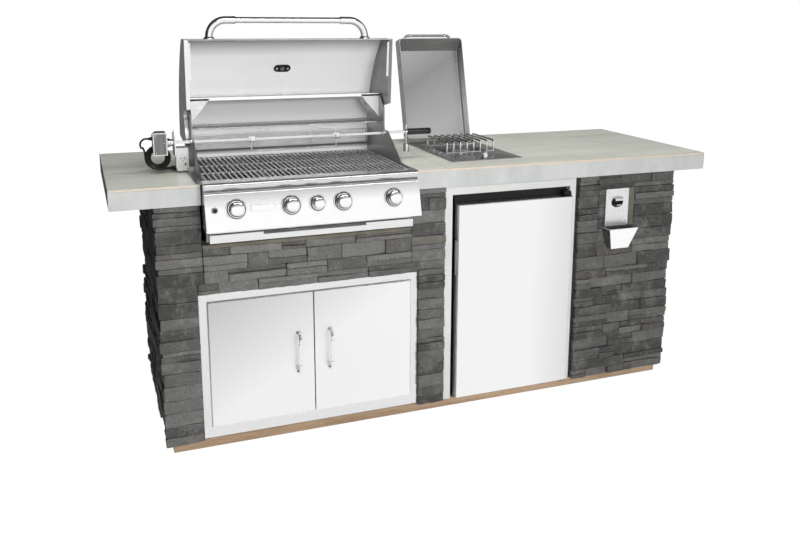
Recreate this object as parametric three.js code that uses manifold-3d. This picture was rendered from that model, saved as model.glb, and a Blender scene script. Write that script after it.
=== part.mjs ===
// An outdoor kitchen island: a ledgestone base with a tiled counter, a built-in gas grill with a rotisserie,
// a double access door, a refrigerator, a side burner and a bottle opener with its cap bucket.
// Millimetres, X along the counter, Y to the back, Z up.
// The origin is on the floor, under the middle of the counter.
import * as THREE from "three";
import { mergeVertices } from "three/addons/utils/BufferGeometryUtils.js";
import Module from "manifold-3d";

const wasm = await Module();
wasm.setup();

// Driving sizes of the island
const counterWidth = 2430;
const counterDepth = 800;
const counterTop = 999;
const fasciaHeight = 71;
const fasciaThickness = 12;
const tileThickness = 8;
const tileSize = 307;
const groutWidth = 3;
const groutDepth = 1.5;
const leftOverhang = 167;
const rightOverhang = 158;
const frontSetback = 45;
const rearSetback = 51;
const deckHeight = 34;
const wallThickness = 16;
const bedThickness = 20;

// Ledgestone
const stoneDepth = 26;
const stoneRelief = 8;
const stoneRoot = 4;
const courseLeast = 34;
const courseMost = 60;
const thinStoneLeast = 14;
const stoneLengthLeast = 70;
const stoneLengthMost = 230;
const endStoneLengthLeast = 230;
const endStoneLengthMost = 480;
const rearStoneLengthLeast = 340;
const rearStoneLengthMost = 640;
const splitShare = 0.36;

// Running and seating clearances
const seat = 0.3;
const runningGap = 2.5;
const overrun = 5;

// Grill
const grillCentre = -524;
const panelWidth = 778;
const hoodWidth = 788;
const capThickness = 14;
const sheet = 4;
const grillRim = 12;
const fireboxBack = 115;
const fireboxBottom = 832;
const runnerDepth = 38;
const pivotY = -35;
const pivotZ = 1112;
const pivotPin = 12;
const hoodOpenAngle = 85;
const spitY = -118;
const spitZ = 1108;
const spitBar = 10;

// Access door
const accessCentre = -520;
const accessWidth = 836;
const accessHeight = 553;
const accessBottom = 40;

// Refrigerator
const fridgeCentre = 314;
const fridgeWidth = 510;
const fridgeDoorBottom = 47;
const fridgeDoorHeight = 804;
const fridgeDepth = 560;
const fridgeDoorThickness = 45;

// Side burner
const sideCentre = 241;
const sideWidth = 318;
const sideDepth = 530;
const sideFront = -268;
const sideLidAngle = 105;

// Opener and bucket
const openerCentre = 796;
const openerTop = 868;

// Rotisserie cord
const cordDiameter = 7;

// Places that follow from the driving sizes
const counterLeft = -counterWidth / 2;
const counterRight = counterWidth / 2;
const counterFront = -counterDepth / 2;
const counterBack = counterDepth / 2;
const counterUnder = counterTop - fasciaHeight;
const tileUnder = counterTop - tileThickness;
const baseLeft = counterLeft + leftOverhang;
const baseRight = counterRight - rightOverhang;
const baseFront = counterFront + frontSetback;
const baseBack = counterBack - rearSetback;
const hoodInside = hoodWidth / 2 - capThickness;
const wingOutside = hoodInside - 5 * seat;
const wingInside = wingOutside - sheet;
const cutHalf = Math.max(panelWidth / 2, wingOutside) + grillRim / 4;
const cutLeft = grillCentre - cutHalf;
const cutRight = grillCentre + cutHalf;
const cutBack = fireboxBack + grillRim;
const accessLeft = accessCentre - accessWidth / 2;
const accessRight = accessCentre + accessWidth / 2;
const accessTop = accessBottom + accessHeight;

// Materials
const paint = (color, roughness, metalness) => new THREE.MeshStandardMaterial({ color, roughness, metalness });
const stainless = paint(0xc9cbcc, 0.3, 1);
const brushedSheet = paint(0xb4b6b8, 0.38, 1);
const chrome = paint(0xe2e4e6, 0.12, 1);
const castIron = paint(0x3a3a3b, 0.6, 0.6);
const doorSkin = paint(0xe9ebee, 0.25, 0.8);
const blackShell = paint(0x151516, 0.5, 0);
const blackRubber = paint(0x121212, 0.7, 0);
const tile = paint(0xb9b9ad, 0.45, 0);
const fasciaTile = paint(0xcfd4d6, 0.5, 0);
const boardGrey = paint(0x9a9a94, 0.9, 0);
const ledgestone = paint(0x55585b, 0.85, 0);
const deckTan = paint(0xa98f6e, 0.8, 0);
const trimPaint = paint(0xc8ccca, 0.4, 0.3);
const glass = paint(0xd7e4e2, 0.05, 0);
const ceramic = paint(0xd9cdb8, 0.8, 0);

const island = new THREE.Group();

// Geometry helpers
function bare(geometry) {
  const open = geometry.index ? geometry.toNonIndexed() : geometry.clone();
  open.deleteAttribute("normal");
  open.deleteAttribute("uv");
  return mergeVertices(open, 1e-3);
}

function solidOf(geometry) {
  const merged = bare(geometry);
  return new wasm.Manifold(
    new wasm.Mesh({
      numProp: 3,
      vertProperties: merged.attributes.position.array,
      triVerts: new Uint32Array(merged.index.array),
    }),
  );
}

function geometryOf(solid) {
  const mesh = solid.getMesh();
  const positions = new Float32Array(mesh.numVert * 3);
  for (let i = 0; i < mesh.numVert; i++) {
    positions.set(mesh.vertProperties.subarray(i * mesh.numProp, i * mesh.numProp + 3), i * 3);
  }
  const geometry = new THREE.BufferGeometry();
  geometry.setAttribute("position", new THREE.BufferAttribute(positions, 3));
  geometry.setIndex(new THREE.BufferAttribute(new Uint32Array(mesh.triVerts), 1));
  geometry.computeVertexNormals();
  return geometry;
}

function join(geometries) {
  return geometryOf(geometries.map(solidOf).reduce((whole, part) => whole.add(part)));
}

function cut(geometry, tools) {
  return geometryOf(tools.map(solidOf).reduce((whole, tool) => whole.subtract(tool), solidOf(geometry)));
}

function meet(first, second) {
  return geometryOf(solidOf(first).intersect(solidOf(second)));
}

function box(x0, x1, y0, y1, z0, z1) {
  const geometry = new THREE.BoxGeometry();
  const corners = geometry.attributes.position;
  for (let i = 0; i < corners.count; i++) {
    const [x, y, z] = [
      corners.getX(i) < 0 ? x0 : x1,
      corners.getY(i) < 0 ? y0 : y1,
      corners.getZ(i) < 0 ? z0 : z1,
    ];
    corners.setXYZ(i, x, y, z);
  }
  return geometry;
}

function shapeOf(points) {
  return points instanceof THREE.Shape ? points : new THREE.Shape(
    points.map(([u, v]) => new THREE.Vector2(u, v)),
  );
}

// An outline in Y and Z, extruded along X
function prismX(points, x0, x1) {
  const geometry = new THREE.ExtrudeGeometry(shapeOf(points), { depth: x1 - x0, bevelEnabled: false });
  const turn = new THREE.Matrix4().makeBasis(
    new THREE.Vector3(0, 1, 0),
    new THREE.Vector3(0, 0, 1),
    new THREE.Vector3(1, 0, 0),
  );
  return geometry.applyMatrix4(turn).translate(x0, 0, 0);
}

// An outline in X and Z, extruded along Y
function prismY(points, y0, y1) {
  const geometry = new THREE.ExtrudeGeometry(shapeOf(points), { depth: y1 - y0, bevelEnabled: false });
  return geometry.rotateX(Math.PI / 2).translate(0, y1, 0);
}

// An outline in X and Y, extruded along Z
function prismZ(points, z0, z1) {
  const geometry = new THREE.ExtrudeGeometry(shapeOf(points), { depth: z1 - z0, bevelEnabled: false });
  return geometry.translate(0, 0, z0);
}

// A picture frame: a rectangle in X and Z with a rectangular hole, extruded along Y
function ringY(outer, inner, y0, y1) {
  const [x0, x1, z0, z1] = outer;
  const shape = shapeOf([
    [x0, z0],
    [x1, z0],
    [x1, z1],
    [x0, z1],
  ]);
  const [a0, a1, b0, b1] = inner;
  shape.holes.push(
    new THREE.Path([
      new THREE.Vector2(a0, b0),
      new THREE.Vector2(a0, b1),
      new THREE.Vector2(a1, b1),
      new THREE.Vector2(a1, b0),
    ]),
  );
  return prismY(shape, y0, y1);
}

// A plate that stands in X and Z, with its front edges rounded
function softPlate(x0, x1, z0, z1, yFront, yBack, edge) {
  const shape = shapeOf([
    [x0 + edge, z0 + edge],
    [x1 - edge, z0 + edge],
    [x1 - edge, z1 - edge],
    [x0 + edge, z1 - edge],
  ]);
  const geometry = new THREE.ExtrudeGeometry(shape, {
    depth: yBack - yFront - 2 * edge,
    bevelThickness: edge,
    bevelSize: edge,
    bevelSegments: 2,
  });
  return geometry.rotateX(Math.PI / 2).translate(0, yBack - edge, 0);
}

// A turned piece: radius and height pairs about the X, Y or Z axis
function turned(profile, sides, axis = "z") {
  const geometry = new THREE.LatheGeometry(
    profile.map(([r, h]) => new THREE.Vector2(r, h)),
    sides,
  );
  if (axis === "z") geometry.rotateX(Math.PI / 2);
  if (axis === "x") geometry.rotateZ(-Math.PI / 2);
  return geometry;
}

function cylinder(radius, height, sides, axis = "z") {
  return turned([[0, 0], [radius, 0], [radius, height], [0, height]], sides, axis);
}

function vector([x, y, z]) {
  return new THREE.Vector3(x, y, z);
}

// Corner points joined by straight stretches, with each inner corner turned on an arc
function bentLine(corners, bend, steps) {
  const points = [vector(corners[0])];
  for (let i = 1; i < corners.length - 1; i++) {
    const corner = vector(corners[i]);
    const back = vector(corners[i - 1]).sub(corner).normalize();
    const on = vector(corners[i + 1]).sub(corner).normalize();
    const halfTurn = back.angleTo(on) / 2;
    const setback = bend / Math.tan(halfTurn);
    const centre = corner.clone().add(
      back.clone().add(on).normalize().multiplyScalar(bend / Math.sin(halfTurn)),
    );
    const from = corner.clone().add(back.multiplyScalar(setback)).sub(centre);
    const to = corner.clone().add(on.multiplyScalar(setback)).sub(centre);
    const sweep = from.angleTo(to);
    const axis = from.clone().cross(to).normalize();
    for (let k = 0; k <= steps; k++) {
      points.push(from.clone().applyAxisAngle(axis, (sweep * k) / steps).add(centre));
    }
  }
  points.push(vector(corners[corners.length - 1]));
  return points;
}

// One unbroken round bar through points, its rings square to the line; the normal is not along it anywhere
function tubeThrough(points, radius, sides, normal) {
  const positions = [];
  const index = [];
  points.forEach((point, i) => {
    const before = points[Math.max(i - 1, 0)];
    const after = points[Math.min(i + 1, points.length - 1)];
    const along = after.clone().sub(before).normalize();
    const across = normal.clone().sub(along.clone().multiplyScalar(normal.dot(along))).normalize();
    const up = along.clone().cross(across);
    for (let k = 0; k < sides; k++) {
      const angle = (2 * Math.PI * (k + 0.5)) / sides;
      const offset = across.clone().multiplyScalar(Math.cos(angle)).add(
        up.clone().multiplyScalar(Math.sin(angle)),
      );
      positions.push(...point.clone().add(offset.multiplyScalar(radius)).toArray());
    }
  });
  const ring = (i, k) => i * sides + (k % sides);
  for (let i = 0; i < points.length - 1; i++) {
    for (let k = 0; k < sides; k++) {
      index.push(
        ring(i, k),
        ring(i + 1, k),
        ring(i + 1, k + 1),
        ring(i, k),
        ring(i + 1, k + 1),
        ring(i, k + 1),
      );
    }
  }
  const last = points.length - 1;
  for (let k = 1; k < sides - 1; k++) {
    index.push(ring(0, 0), ring(0, k), ring(0, k + 1), ring(last, 0), ring(last, k + 1), ring(last, k));
  }
  const geometry = new THREE.BufferGeometry();
  geometry.setAttribute("position", new THREE.BufferAttribute(new Float32Array(positions), 3));
  geometry.setIndex(index.reverse());
  return geometry;
}

const alongX = new THREE.Vector3(1, 0, 0);
const alongY = new THREE.Vector3(0, 1, 0);
const alongZ = new THREE.Vector3(0, 0, 1);

function straight(from, to, radius, sides = 6) {
  const normal = Math.abs(to[0] - from[0]) > Math.abs(to[1] - from[1]) ? alongY : alongX;
  return tubeThrough([vector(from), vector(to)], radius, sides, normal);
}

function arcPoints(centreU, centreV, radius, fromDegrees, toDegrees, steps) {
  return Array.from({ length: steps + 1 }, (_, i) => {
    const angle = THREE.MathUtils.degToRad(fromDegrees + ((toDegrees - fromDegrees) * i) / steps);
    return [centreU + radius * Math.cos(angle), centreV + radius * Math.sin(angle)];
  });
}

// A strip of sheet: an open outline and the same outline set over by the thickness
function ribbon(points, thickness) {
  const normals = points.map((point, i) => {
    const before = points[Math.max(i - 1, 0)];
    const after = points[Math.min(i + 1, points.length - 1)];
    const length = Math.hypot(after[0] - before[0], after[1] - before[1]);
    return [-(after[1] - before[1]) / length, (after[0] - before[0]) / length];
  });
  const offset = points.map(([u, v], i) => [u + normals[i][0] * thickness, v + normals[i][1] * thickness]);
  return [...points, ...offset.reverse()];
}

function add(name, geometry, material, parent = island) {
  const mesh = new THREE.Mesh(geometry, material);
  mesh.name = name;
  parent.add(mesh);
  return mesh;
}

// Base: deck, walls and divider
function buildBase() {
  const wallBottom = deckHeight + seat;
  const wallTop = counterUnder - seat;
  const innerLeft = baseLeft + bedThickness + seat;
  const innerRight = baseRight - bedThickness - seat;
  const innerFront = baseFront + bedThickness + seat;
  const innerBack = baseBack - bedThickness - seat;
  const wallY = innerBack - wallThickness;
  const dividerX = (accessRight + fridgeCentre - fridgeWidth / 2) / 2;
  add("base_deck", box(baseLeft, baseRight, baseFront, baseBack, 0, deckHeight), deckTan);
  const leftRun = [innerLeft, innerLeft + wallThickness];
  const rightRun = [innerRight - wallThickness, innerRight];
  add("left_end_wall", box(...leftRun, innerFront, wallY - seat, wallBottom, wallTop), boardGrey);
  add("right_end_wall", box(...rightRun, innerFront, wallY - seat, wallBottom, wallTop), boardGrey);
  add("rear_wall", box(innerLeft, innerRight, wallY, innerBack, wallBottom, wallTop), boardGrey);
  const dividerRun = [dividerX, dividerX + wallThickness];
  add("cabinet_divider", box(...dividerRun, innerFront, wallY - seat, wallBottom, wallTop), boardGrey);
}

// A repeatable draw between 0 and 1
function drawer(seed) {
  let state = seed;
  return () => {
    state = (state * 16807) % 2147483647;
    return state / 2147483647;
  };
}

// Heights of the courses, the same round the whole island so that the corners interlock
function courses() {
  const draw = drawer(71);
  const rows = [];
  let z = deckHeight;
  while (z < counterUnder) {
    let next = z + courseLeast + (courseMost - courseLeast) * draw();
    if (counterUnder - next < courseLeast) next = counterUnder;
    rows.push([z, next]);
    z = next;
  }
  return rows;
}

// Stones of one face: each course is broken into lengths, and some lengths into a thick and a thin stone.
// The runs say where the face has stone at a height; a corner that is true in a course reaches round it.
function stonesOf(face) {
  const draw = drawer(face.seed);
  const stones = [];
  courses().forEach(([row0, row1], course) => {
    const z0 = Math.max(row0, face.bottom);
    const z1 = Math.min(row1, face.top);
    if (z1 - z0 < thinStoneLeast) return;
    face.runs(z0, z1, row0).forEach(([from, to], index, all) => {
      let u = from;
      while (u < to) {
        const length = face.least + (face.most - face.least) * draw();
        const end = to - (u + length) < face.least ? to : u + length;
        const split = draw() < face.splits && z1 - z0 > 2 * thinStoneLeast;
        const middle = split ? z0 + (z1 - z0) * (0.38 + 0.24 * draw()) : z1;
        const startsCorner = index === 0 && u === from && face.cornerStart(course);
        const endsCorner = index === all.length - 1 && end === to && face.cornerEnd(course);
        const inset = startsCorner || endsCorner ? seat : 0;
        const low = z0 + inset;
        const high = z1 - inset;
        const pairs = split ? [[low, middle], [middle, high]] : [[low, high]];
        pairs.forEach(([bottom, top]) => {
          const depth = stoneDepth + stoneRelief * (2 * draw() - 1);
          const reach = stoneDepth + stoneRelief * (2 * draw() - 1);
          stones.push({
            u0: startsCorner ? u - reach : u,
            u1: endsCorner ? end + reach : end,
            z0: bottom,
            z1: top,
            depth,
          });
        });
        u = end;
      }
    });
  });
  return stones;
}

// Front, rear, left and right faces turn a stone's run and depth into X and Y
const faceBox = {
  front: (u0, u1, w0, w1, z0, z1) => box(u0, u1, baseFront - w1, baseFront - w0, z0, z1),
  rear: (u0, u1, w0, w1, z0, z1) => box(u0, u1, baseBack + w0, baseBack + w1, z0, z1),
  left: (u0, u1, w0, w1, z0, z1) => box(baseLeft - w1, baseLeft - w0, u0, u1, z0, z1),
  right: (u0, u1, w0, w1, z0, z1) => box(baseRight + w0, baseRight + w1, u0, u1, z0, z1),
};

function stoneFace(name, face) {
  const place = faceBox[face.side];
  const [from, to] = [face.beds[0][0], face.beds[0][1]];
  const stones = stonesOf(face).flatMap(({ u0, u1, z0, z1, depth }) => {
    if (u0 >= from && u1 <= to) return [place(u0, u1, -stoneRoot, depth, z0, z1)];
    const root = place(Math.max(u0, from), Math.min(u1, to), -stoneRoot, stoneRoot, z0, z1);
    return [place(u0, u1, seat, depth, z0, z1), root];
  });
  const beds = face.beds.map(([u0, u1, z0, z1]) => place(u0, u1, -bedThickness, 0, z0, z1));
  add(name, join([...beds, ...stones]), ledgestone);
}

// The ledgestone faces, with the openings for the access door, the grill, the refrigerator and the opener
const trimWidth = 34;
const trimWidthRight = 28;
const trimGapLeft = 14;
const trimGapRight = 4;
const trimLeft = fridgeCentre - fridgeWidth / 2 - trimGapLeft - trimWidth;
const trimRight = fridgeCentre + fridgeWidth / 2 + trimGapRight + trimWidthRight;
const headerTop = 772;
const sillHeight = 16;
const flangeLap = 18;
const openerHoleHalf = 88;
const openerHoleLeft = openerCentre - openerHoleHalf;
const openerHoleRight = openerCentre + openerHoleHalf;
const openerHoleBottom = 606;
const even = (course) => course % 2 === 0;
const odd = (course) => course % 2 === 1;
const never = () => false;

function buildStone() {
  const bottom = deckHeight + seat;
  const top = counterUnder - seat;
  const shared = { splits: splitShare, bottom, top };
  const short = { ...shared, least: stoneLengthLeast, most: stoneLengthMost };
  const medium = { ...shared, least: endStoneLengthLeast, most: endStoneLengthMost };
  const long = { ...shared, splits: 0, least: rearStoneLengthLeast, most: rearStoneLengthMost };
  const leftEdge = (low) => (low < accessTop ? accessLeft - seat : cutLeft - seat);
  const centreEdge = (low) => (low < accessTop ? accessRight + seat : cutRight + seat);
  stoneFace("stone_left_pillar", {
    ...short,
    side: "front",
    seed: 113,
    runs: (low) => [[baseLeft, leftEdge(low)]],
    beds: [[baseLeft, accessLeft + flangeLap, bottom, top]],
    cornerStart: even,
    cornerEnd: never,
  });
  stoneFace("stone_header", {
    ...short,
    side: "front",
    seed: 229,
    bottom: accessTop + seat,
    top: headerTop,
    runs: (low, high, row) => (row < accessTop ? [[accessLeft, accessRight]] : [[cutLeft, cutRight]]),
    beds: [
      [
        accessLeft + flangeLap + seat,
        accessRight - flangeLap - seat,
        accessTop - flangeLap,
        headerTop + sillHeight,
      ],
    ],
    cornerStart: never,
    cornerEnd: never,
  });
  stoneFace("stone_centre_pillar", {
    ...short,
    side: "front",
    seed: 331,
    runs: (low) => [[centreEdge(low), trimLeft - seat]],
    beds: [[accessRight - flangeLap, trimLeft + flangeLap, bottom, top]],
    cornerStart: never,
    cornerEnd: never,
  });
  const hasOpener = (low, high) => high > openerHoleBottom && low < openerTop;
  stoneFace("stone_right_panel", {
    ...short,
    side: "front",
    seed: 457,
    runs: (low, high) =>
      hasOpener(low, high)
        ? [[trimRight + seat, openerHoleLeft], [openerHoleRight, baseRight]]
        : [[trimRight + seat, baseRight]],
    beds: [[trimRight - flangeLap, baseRight, bottom, top]],
    cornerStart: never,
    cornerEnd: even,
  });
  const inner = [baseFront + seat, baseBack - seat];
  const endBed = [baseFront + bedThickness + seat, baseBack - bedThickness - seat, bottom, top];
  ["left", "right"].forEach((side, i) => {
    stoneFace("stone_" + side + "_end", {
      ...medium,
      side,
      seed: 541 + i,
      runs: () => [inner],
      beds: [endBed],
      cornerStart: odd,
      cornerEnd: odd,
    });
  });
  stoneFace("stone_rear", {
    ...long,
    side: "rear",
    seed: 613,
    runs: () => [[baseLeft, baseRight]],
    beds: [[baseLeft, baseRight, bottom, top]],
    cornerStart: even,
    cornerEnd: even,
  });
}

// Counter: board, tiles with their grout joints, and the fascia strips round the edge
const sideCutLap = 14;

function sideCut(z0, z1) {
  const left = sideCentre - sideWidth / 2 + sideCutLap;
  const right = sideCentre + sideWidth / 2 - sideCutLap;
  return box(left, right, sideFront + sideCutLap, sideFront + sideDepth - sideCutLap, z0, z1);
}

function grouted(x0, x1, y0, y1, openings = []) {
  const top = counterTop;
  const lines = [];
  const floorAcross = top - groutDepth;
  const floorAlong = floorAcross - groutDepth / 10;
  for (let y = counterFront + tileSize; y < y1; y += tileSize) {
    if (y > y0) lines.push(box(x0 - overrun, x1 + overrun, y, y + groutWidth, floorAcross, top + overrun));
  }
  for (let x = counterLeft + tileSize; x < x1; x += tileSize) {
    if (x > x0) lines.push(box(x, x + groutWidth, y0 - overrun, y1 + overrun, floorAlong, top + 2 * overrun));
  }
  return cut(box(x0, x1, y0, y1, tileUnder + seat, top), [...lines, ...openings]);
}

function buildCounter() {
  const inset = fasciaThickness + seat;
  const under = counterUnder;
  const slab = box(
    counterLeft + inset,
    counterRight - inset,
    counterFront + inset,
    counterBack - inset,
    under,
    tileUnder,
  );
  const grillCut = box(cutLeft, cutRight, counterFront - overrun, cutBack, under - overrun, counterTop);
  const board = cut(slab, [grillCut, sideCut(under - overrun, counterTop)]);
  add("counter_board", board, boardGrey);
  add("counter_tile_left", grouted(counterLeft, cutLeft, counterFront, counterBack), tile);
  add("counter_tile_rear", grouted(cutLeft + seat, cutRight - seat, cutBack, counterBack), tile);
  const burnerHole = sideCut(tileUnder - overrun, counterTop + 3 * overrun);
  add("counter_tile_right", grouted(cutRight, counterRight, counterFront, counterBack, [burnerHole]), tile);

  const top = tileUnder;
  const backSplit = (counterLeft + counterRight) / 2;
  const strips = (x0, x1, end) => [
    box(x0, x1, counterFront, counterFront + fasciaThickness, under, top),
    box(end, end + fasciaThickness, counterFront, counterBack, under, top),
  ];
  const leftRear = box(counterLeft, backSplit - seat, counterBack - fasciaThickness, counterBack, under, top);
  const rightRear = box(backSplit, counterRight, counterBack - fasciaThickness, counterBack, under, top);
  add("fascia_left", join([...strips(counterLeft, cutLeft, counterLeft), leftRear]), fasciaTile);
  add(
    "fascia_right",
    join([...strips(cutRight, counterRight, counterRight - fasciaThickness), rightRear]),
    fasciaTile,
  );
}

// Access door: a flanged frame, two hung leaves and their arched pulls
const flangeThickness = 8;
const leafThickness = 15;
const leafProud = 8;
const accessBorder = 28;
const accessSill = 42;
const stopLip = 12;
const frameReturn = 40;
const leafEdge = 3;
const handleOffset = 61;
const handleLow = 172;
const handleSpan = 152;
const handleReach = 34;
const handleRadius = 6;
const handleBoss = 10;

function buildAccessDoor() {
  const outer = [accessLeft, accessRight, accessBottom, accessTop];
  const inner = [
    accessLeft + accessBorder,
    accessRight - accessBorder,
    accessBottom + accessSill,
    accessTop - accessBorder,
  ];
  const lip = [inner[0] + stopLip, inner[1] - stopLip, inner[2] + stopLip, inner[3] - stopLip];
  const tubeOuter = [inner[0] - sheet, inner[1] + sheet, inner[2] - sheet, inner[3] + sheet];
  const front = baseFront - seat;
  const frame = join([
    ringY(outer, inner, front - flangeThickness, front),
    ringY(tubeOuter, lip, front - sheet / 2, front + sheet),
    ringY(tubeOuter, inner, front, front + frameReturn),
  ]);
  add("access_frame", frame, stainless);

  const leafBack = front - sheet / 2 - seat;
  const leafFront = leafBack - leafThickness;
  const middle = accessCentre;
  const sides = [
    ["left", inner[0] + runningGap, middle - runningGap / 2, -1],
    ["right", middle + runningGap / 2, inner[1] - runningGap, 1],
  ];
  sides.forEach(([side, x0, x1, sign]) => {
    const z0 = inner[2] + runningGap;
    const z1 = inner[3] - runningGap;
    add("access_door_" + side, softPlate(x0, x1, z0, z1, leafFront, leafBack, leafEdge), doorSkin);
    const x = middle + sign * handleOffset;
    const foot = leafFront - seat;
    const low = inner[2] + handleLow;
    const high = low + handleSpan;
    const reach = foot - handleReach;
    const line = bentLine(
      [
        [x, foot - handleBoss / 2, low],
        [x, reach, low],
        [x, reach, high],
        [x, foot - handleBoss / 2, high],
      ],
      handleReach * 0.68,
      5,
    );
    const bosses = [low, high].map((z) =>
      turned([[0, 0], [handleBoss, 0], [handleRadius, handleBoss], [0, handleBoss]], 10, "y")
        .rotateX(Math.PI)
        .translate(x, foot, z),
    );
    const collars = [low + handleReach, high - handleReach].map((z) =>
      cylinder(handleRadius + leafEdge / 2, handleBoss, 8).translate(x, reach, z - handleBoss / 2),
    );
    add(
      "door_handle_" + side,
      join([tubeThrough(line, handleRadius, 8, alongX), ...bosses, ...collars]),
      chrome,
    );
  });
}

// Refrigerator: trim round the opening, insulated cabinet, door with a side pull, and a glass shelf
const trimThickness = 7;
const trimTopHeight = 41;
const fridgeFoot = 6;
const insulation = 32;
const shellInset = 2;
const capStrip = 34;
const compressorStep = 150;
const fridgeDoorFront = -395;
const fridgeGasket = 5;
const hingeInset = 12;
const hingeForward = 34;
const pullLow = 515;
const pullHigh = 655;
const pullDepth = 16;
const shelfHeight = 395;
const shelfThickness = 5;
const railDepth = 9;
const balconyDepth = 48;
const balconyHeight = 42;

function buildRefrigerator() {
  const trimBack = baseFront - seat;
  const trimFront = trimBack - trimThickness;
  const bottom = deckHeight + seat;
  const top = counterUnder - seat;
  const openLeft = trimLeft + trimWidth;
  const openRight = trimRight - trimWidthRight;
  const under = top - trimTopHeight;
  const leg = (x0, x1) => box(x0, x1, trimFront, trimBack, bottom, top);
  add(
    "fridge_trim",
    join([
      leg(trimLeft, openLeft),
      leg(openRight, trimRight),
      box(trimLeft, trimRight, trimFront, trimBack, under, top),
      box(openLeft - sheet, openLeft, trimBack - sheet, trimBack + insulation, bottom, top),
      box(openRight, openRight + sheet, trimBack - sheet, trimBack + insulation, bottom, top),
    ]),
    trimPaint,
  );

  const x0 = fridgeCentre - fridgeWidth / 2;
  const x1 = fridgeCentre + fridgeWidth / 2;
  const doorBack = fridgeDoorFront + fridgeDoorThickness;
  const cabinetFront = doorBack + fridgeGasket;
  const cabinetBack = cabinetFront + fridgeDepth;
  const cabinetBottom = bottom + fridgeFoot;
  const doorTop = fridgeDoorBottom + fridgeDoorHeight;
  const cabinetTop = doorTop + capStrip;
  const block = box(x0 + shellInset, x1 - shellInset, cabinetFront, cabinetBack, cabinetBottom, cabinetTop);
  const shell = cut(block, [
    prismX(
      [
        [cabinetFront - overrun, cabinetBottom + insulation],
        [cabinetBack - compressorStep, cabinetBottom + insulation],
        [cabinetBack - compressorStep, cabinetBottom + insulation + compressorStep],
        [cabinetBack - insulation, cabinetBottom + insulation + compressorStep],
        [cabinetBack - insulation, cabinetTop - insulation - capStrip],
        [cabinetFront - overrun, cabinetTop - insulation - capStrip],
      ],
      x0 + insulation,
      x1 - insulation,
    ),
  ]);
  const shelfZ = cabinetBottom + shelfHeight;
  const rails = [
    box(
      x0 + insulation - overrun,
      x0 + insulation + railDepth,
      cabinetFront + balconyDepth,
      cabinetBack - insulation - railDepth,
      shelfZ - railDepth,
      shelfZ,
    ),
    box(
      x1 - insulation - railDepth,
      x1 - insulation + overrun,
      cabinetFront + balconyDepth,
      cabinetBack - insulation - railDepth,
      shelfZ - railDepth,
      shelfZ,
    ),
  ];
  const feet = [x0 + insulation * 2, x1 - insulation * 2].flatMap((x) =>
    [cabinetFront + insulation * 2, cabinetBack - insulation * 2].map((y) =>
      cylinder(insulation / 2, fridgeFoot + overrun, 10).translate(x, y, bottom),
    ),
  );
  const hingeX = x1 - hingeInset;
  const hingeY = doorBack - hingeForward;
  const bracket = (z0, z1) => box(
    hingeX - hingeInset,
    x1 - shellInset,
    hingeY - hingeInset / 2,
    cabinetFront + overrun,
    z0,
    z1,
  );
  add(
    "fridge_cabinet",
    join([
      shell,
      ...rails,
      ...feet,
      bracket(doorTop + seat, doorTop + sheet),
      bracket(fridgeDoorBottom - sheet, fridgeDoorBottom - seat),
    ]),
    blackShell,
  );
  add(
    "fridge_shelf",
    box(
      x0 + insulation + seat,
      x1 - insulation - seat,
      cabinetFront + balconyDepth * 2,
      cabinetBack - insulation - railDepth,
      shelfZ + seat,
      shelfZ + shelfThickness,
    ),
    glass,
  );

  const leaf = softPlate(x0, x1, fridgeDoorBottom, doorTop, fridgeDoorFront, doorBack, leafEdge);
  const pull = box(
    x0 - overrun,
    x0 + pullDepth,
    fridgeDoorFront + pullDepth * 0.6,
    doorBack - pullDepth * 0.8,
    fridgeDoorBottom + pullLow,
    fridgeDoorBottom + pullHigh,
  );
  const gasket = ringY(
    [x0 + insulation / 2, x1 - insulation / 2, fridgeDoorBottom + insulation / 2, doorTop - insulation / 2],
    [x0 + insulation, x1 - insulation, fridgeDoorBottom + insulation, doorTop - insulation],
    doorBack - seat,
    cabinetFront - seat,
  );
  const linerInset = insulation + railDepth;
  const balcony = (z) => {
    const low = [
      x0 + linerInset,
      x1 - linerInset,
      doorBack - seat,
      doorBack + balconyDepth,
      z,
      z + balconyHeight,
    ];
    const hollow = [
      low[0] + sheet,
      low[1] - sheet,
      doorBack + sheet,
      low[3] - sheet,
      z + sheet,
      z + balconyHeight + overrun,
    ];
    return cut(box(...low), [box(...hollow)]);
  };
  add(
    "fridge_door",
    join(
      [
        cut(leaf, [pull]),
        gasket,
        balcony(fridgeDoorBottom + compressorStep),
        balcony(fridgeDoorBottom + pullLow),
      ],
    ),
    doorSkin,
  );
}

// Bottle opener on its plate, and the bucket that catches the caps
const openerWidth = 112;
const openerPlateBottom = 694;
const openerPan = 24;
const openerHookWidth = 46;
const bucketTopWidth = 156;
const bucketBottomWidth = 92;
const bucketHeight = 92;
const bucketTopDepth = 62;
const bucketBottomDepth = 36;
const bucketWall = 2.5;

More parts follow.
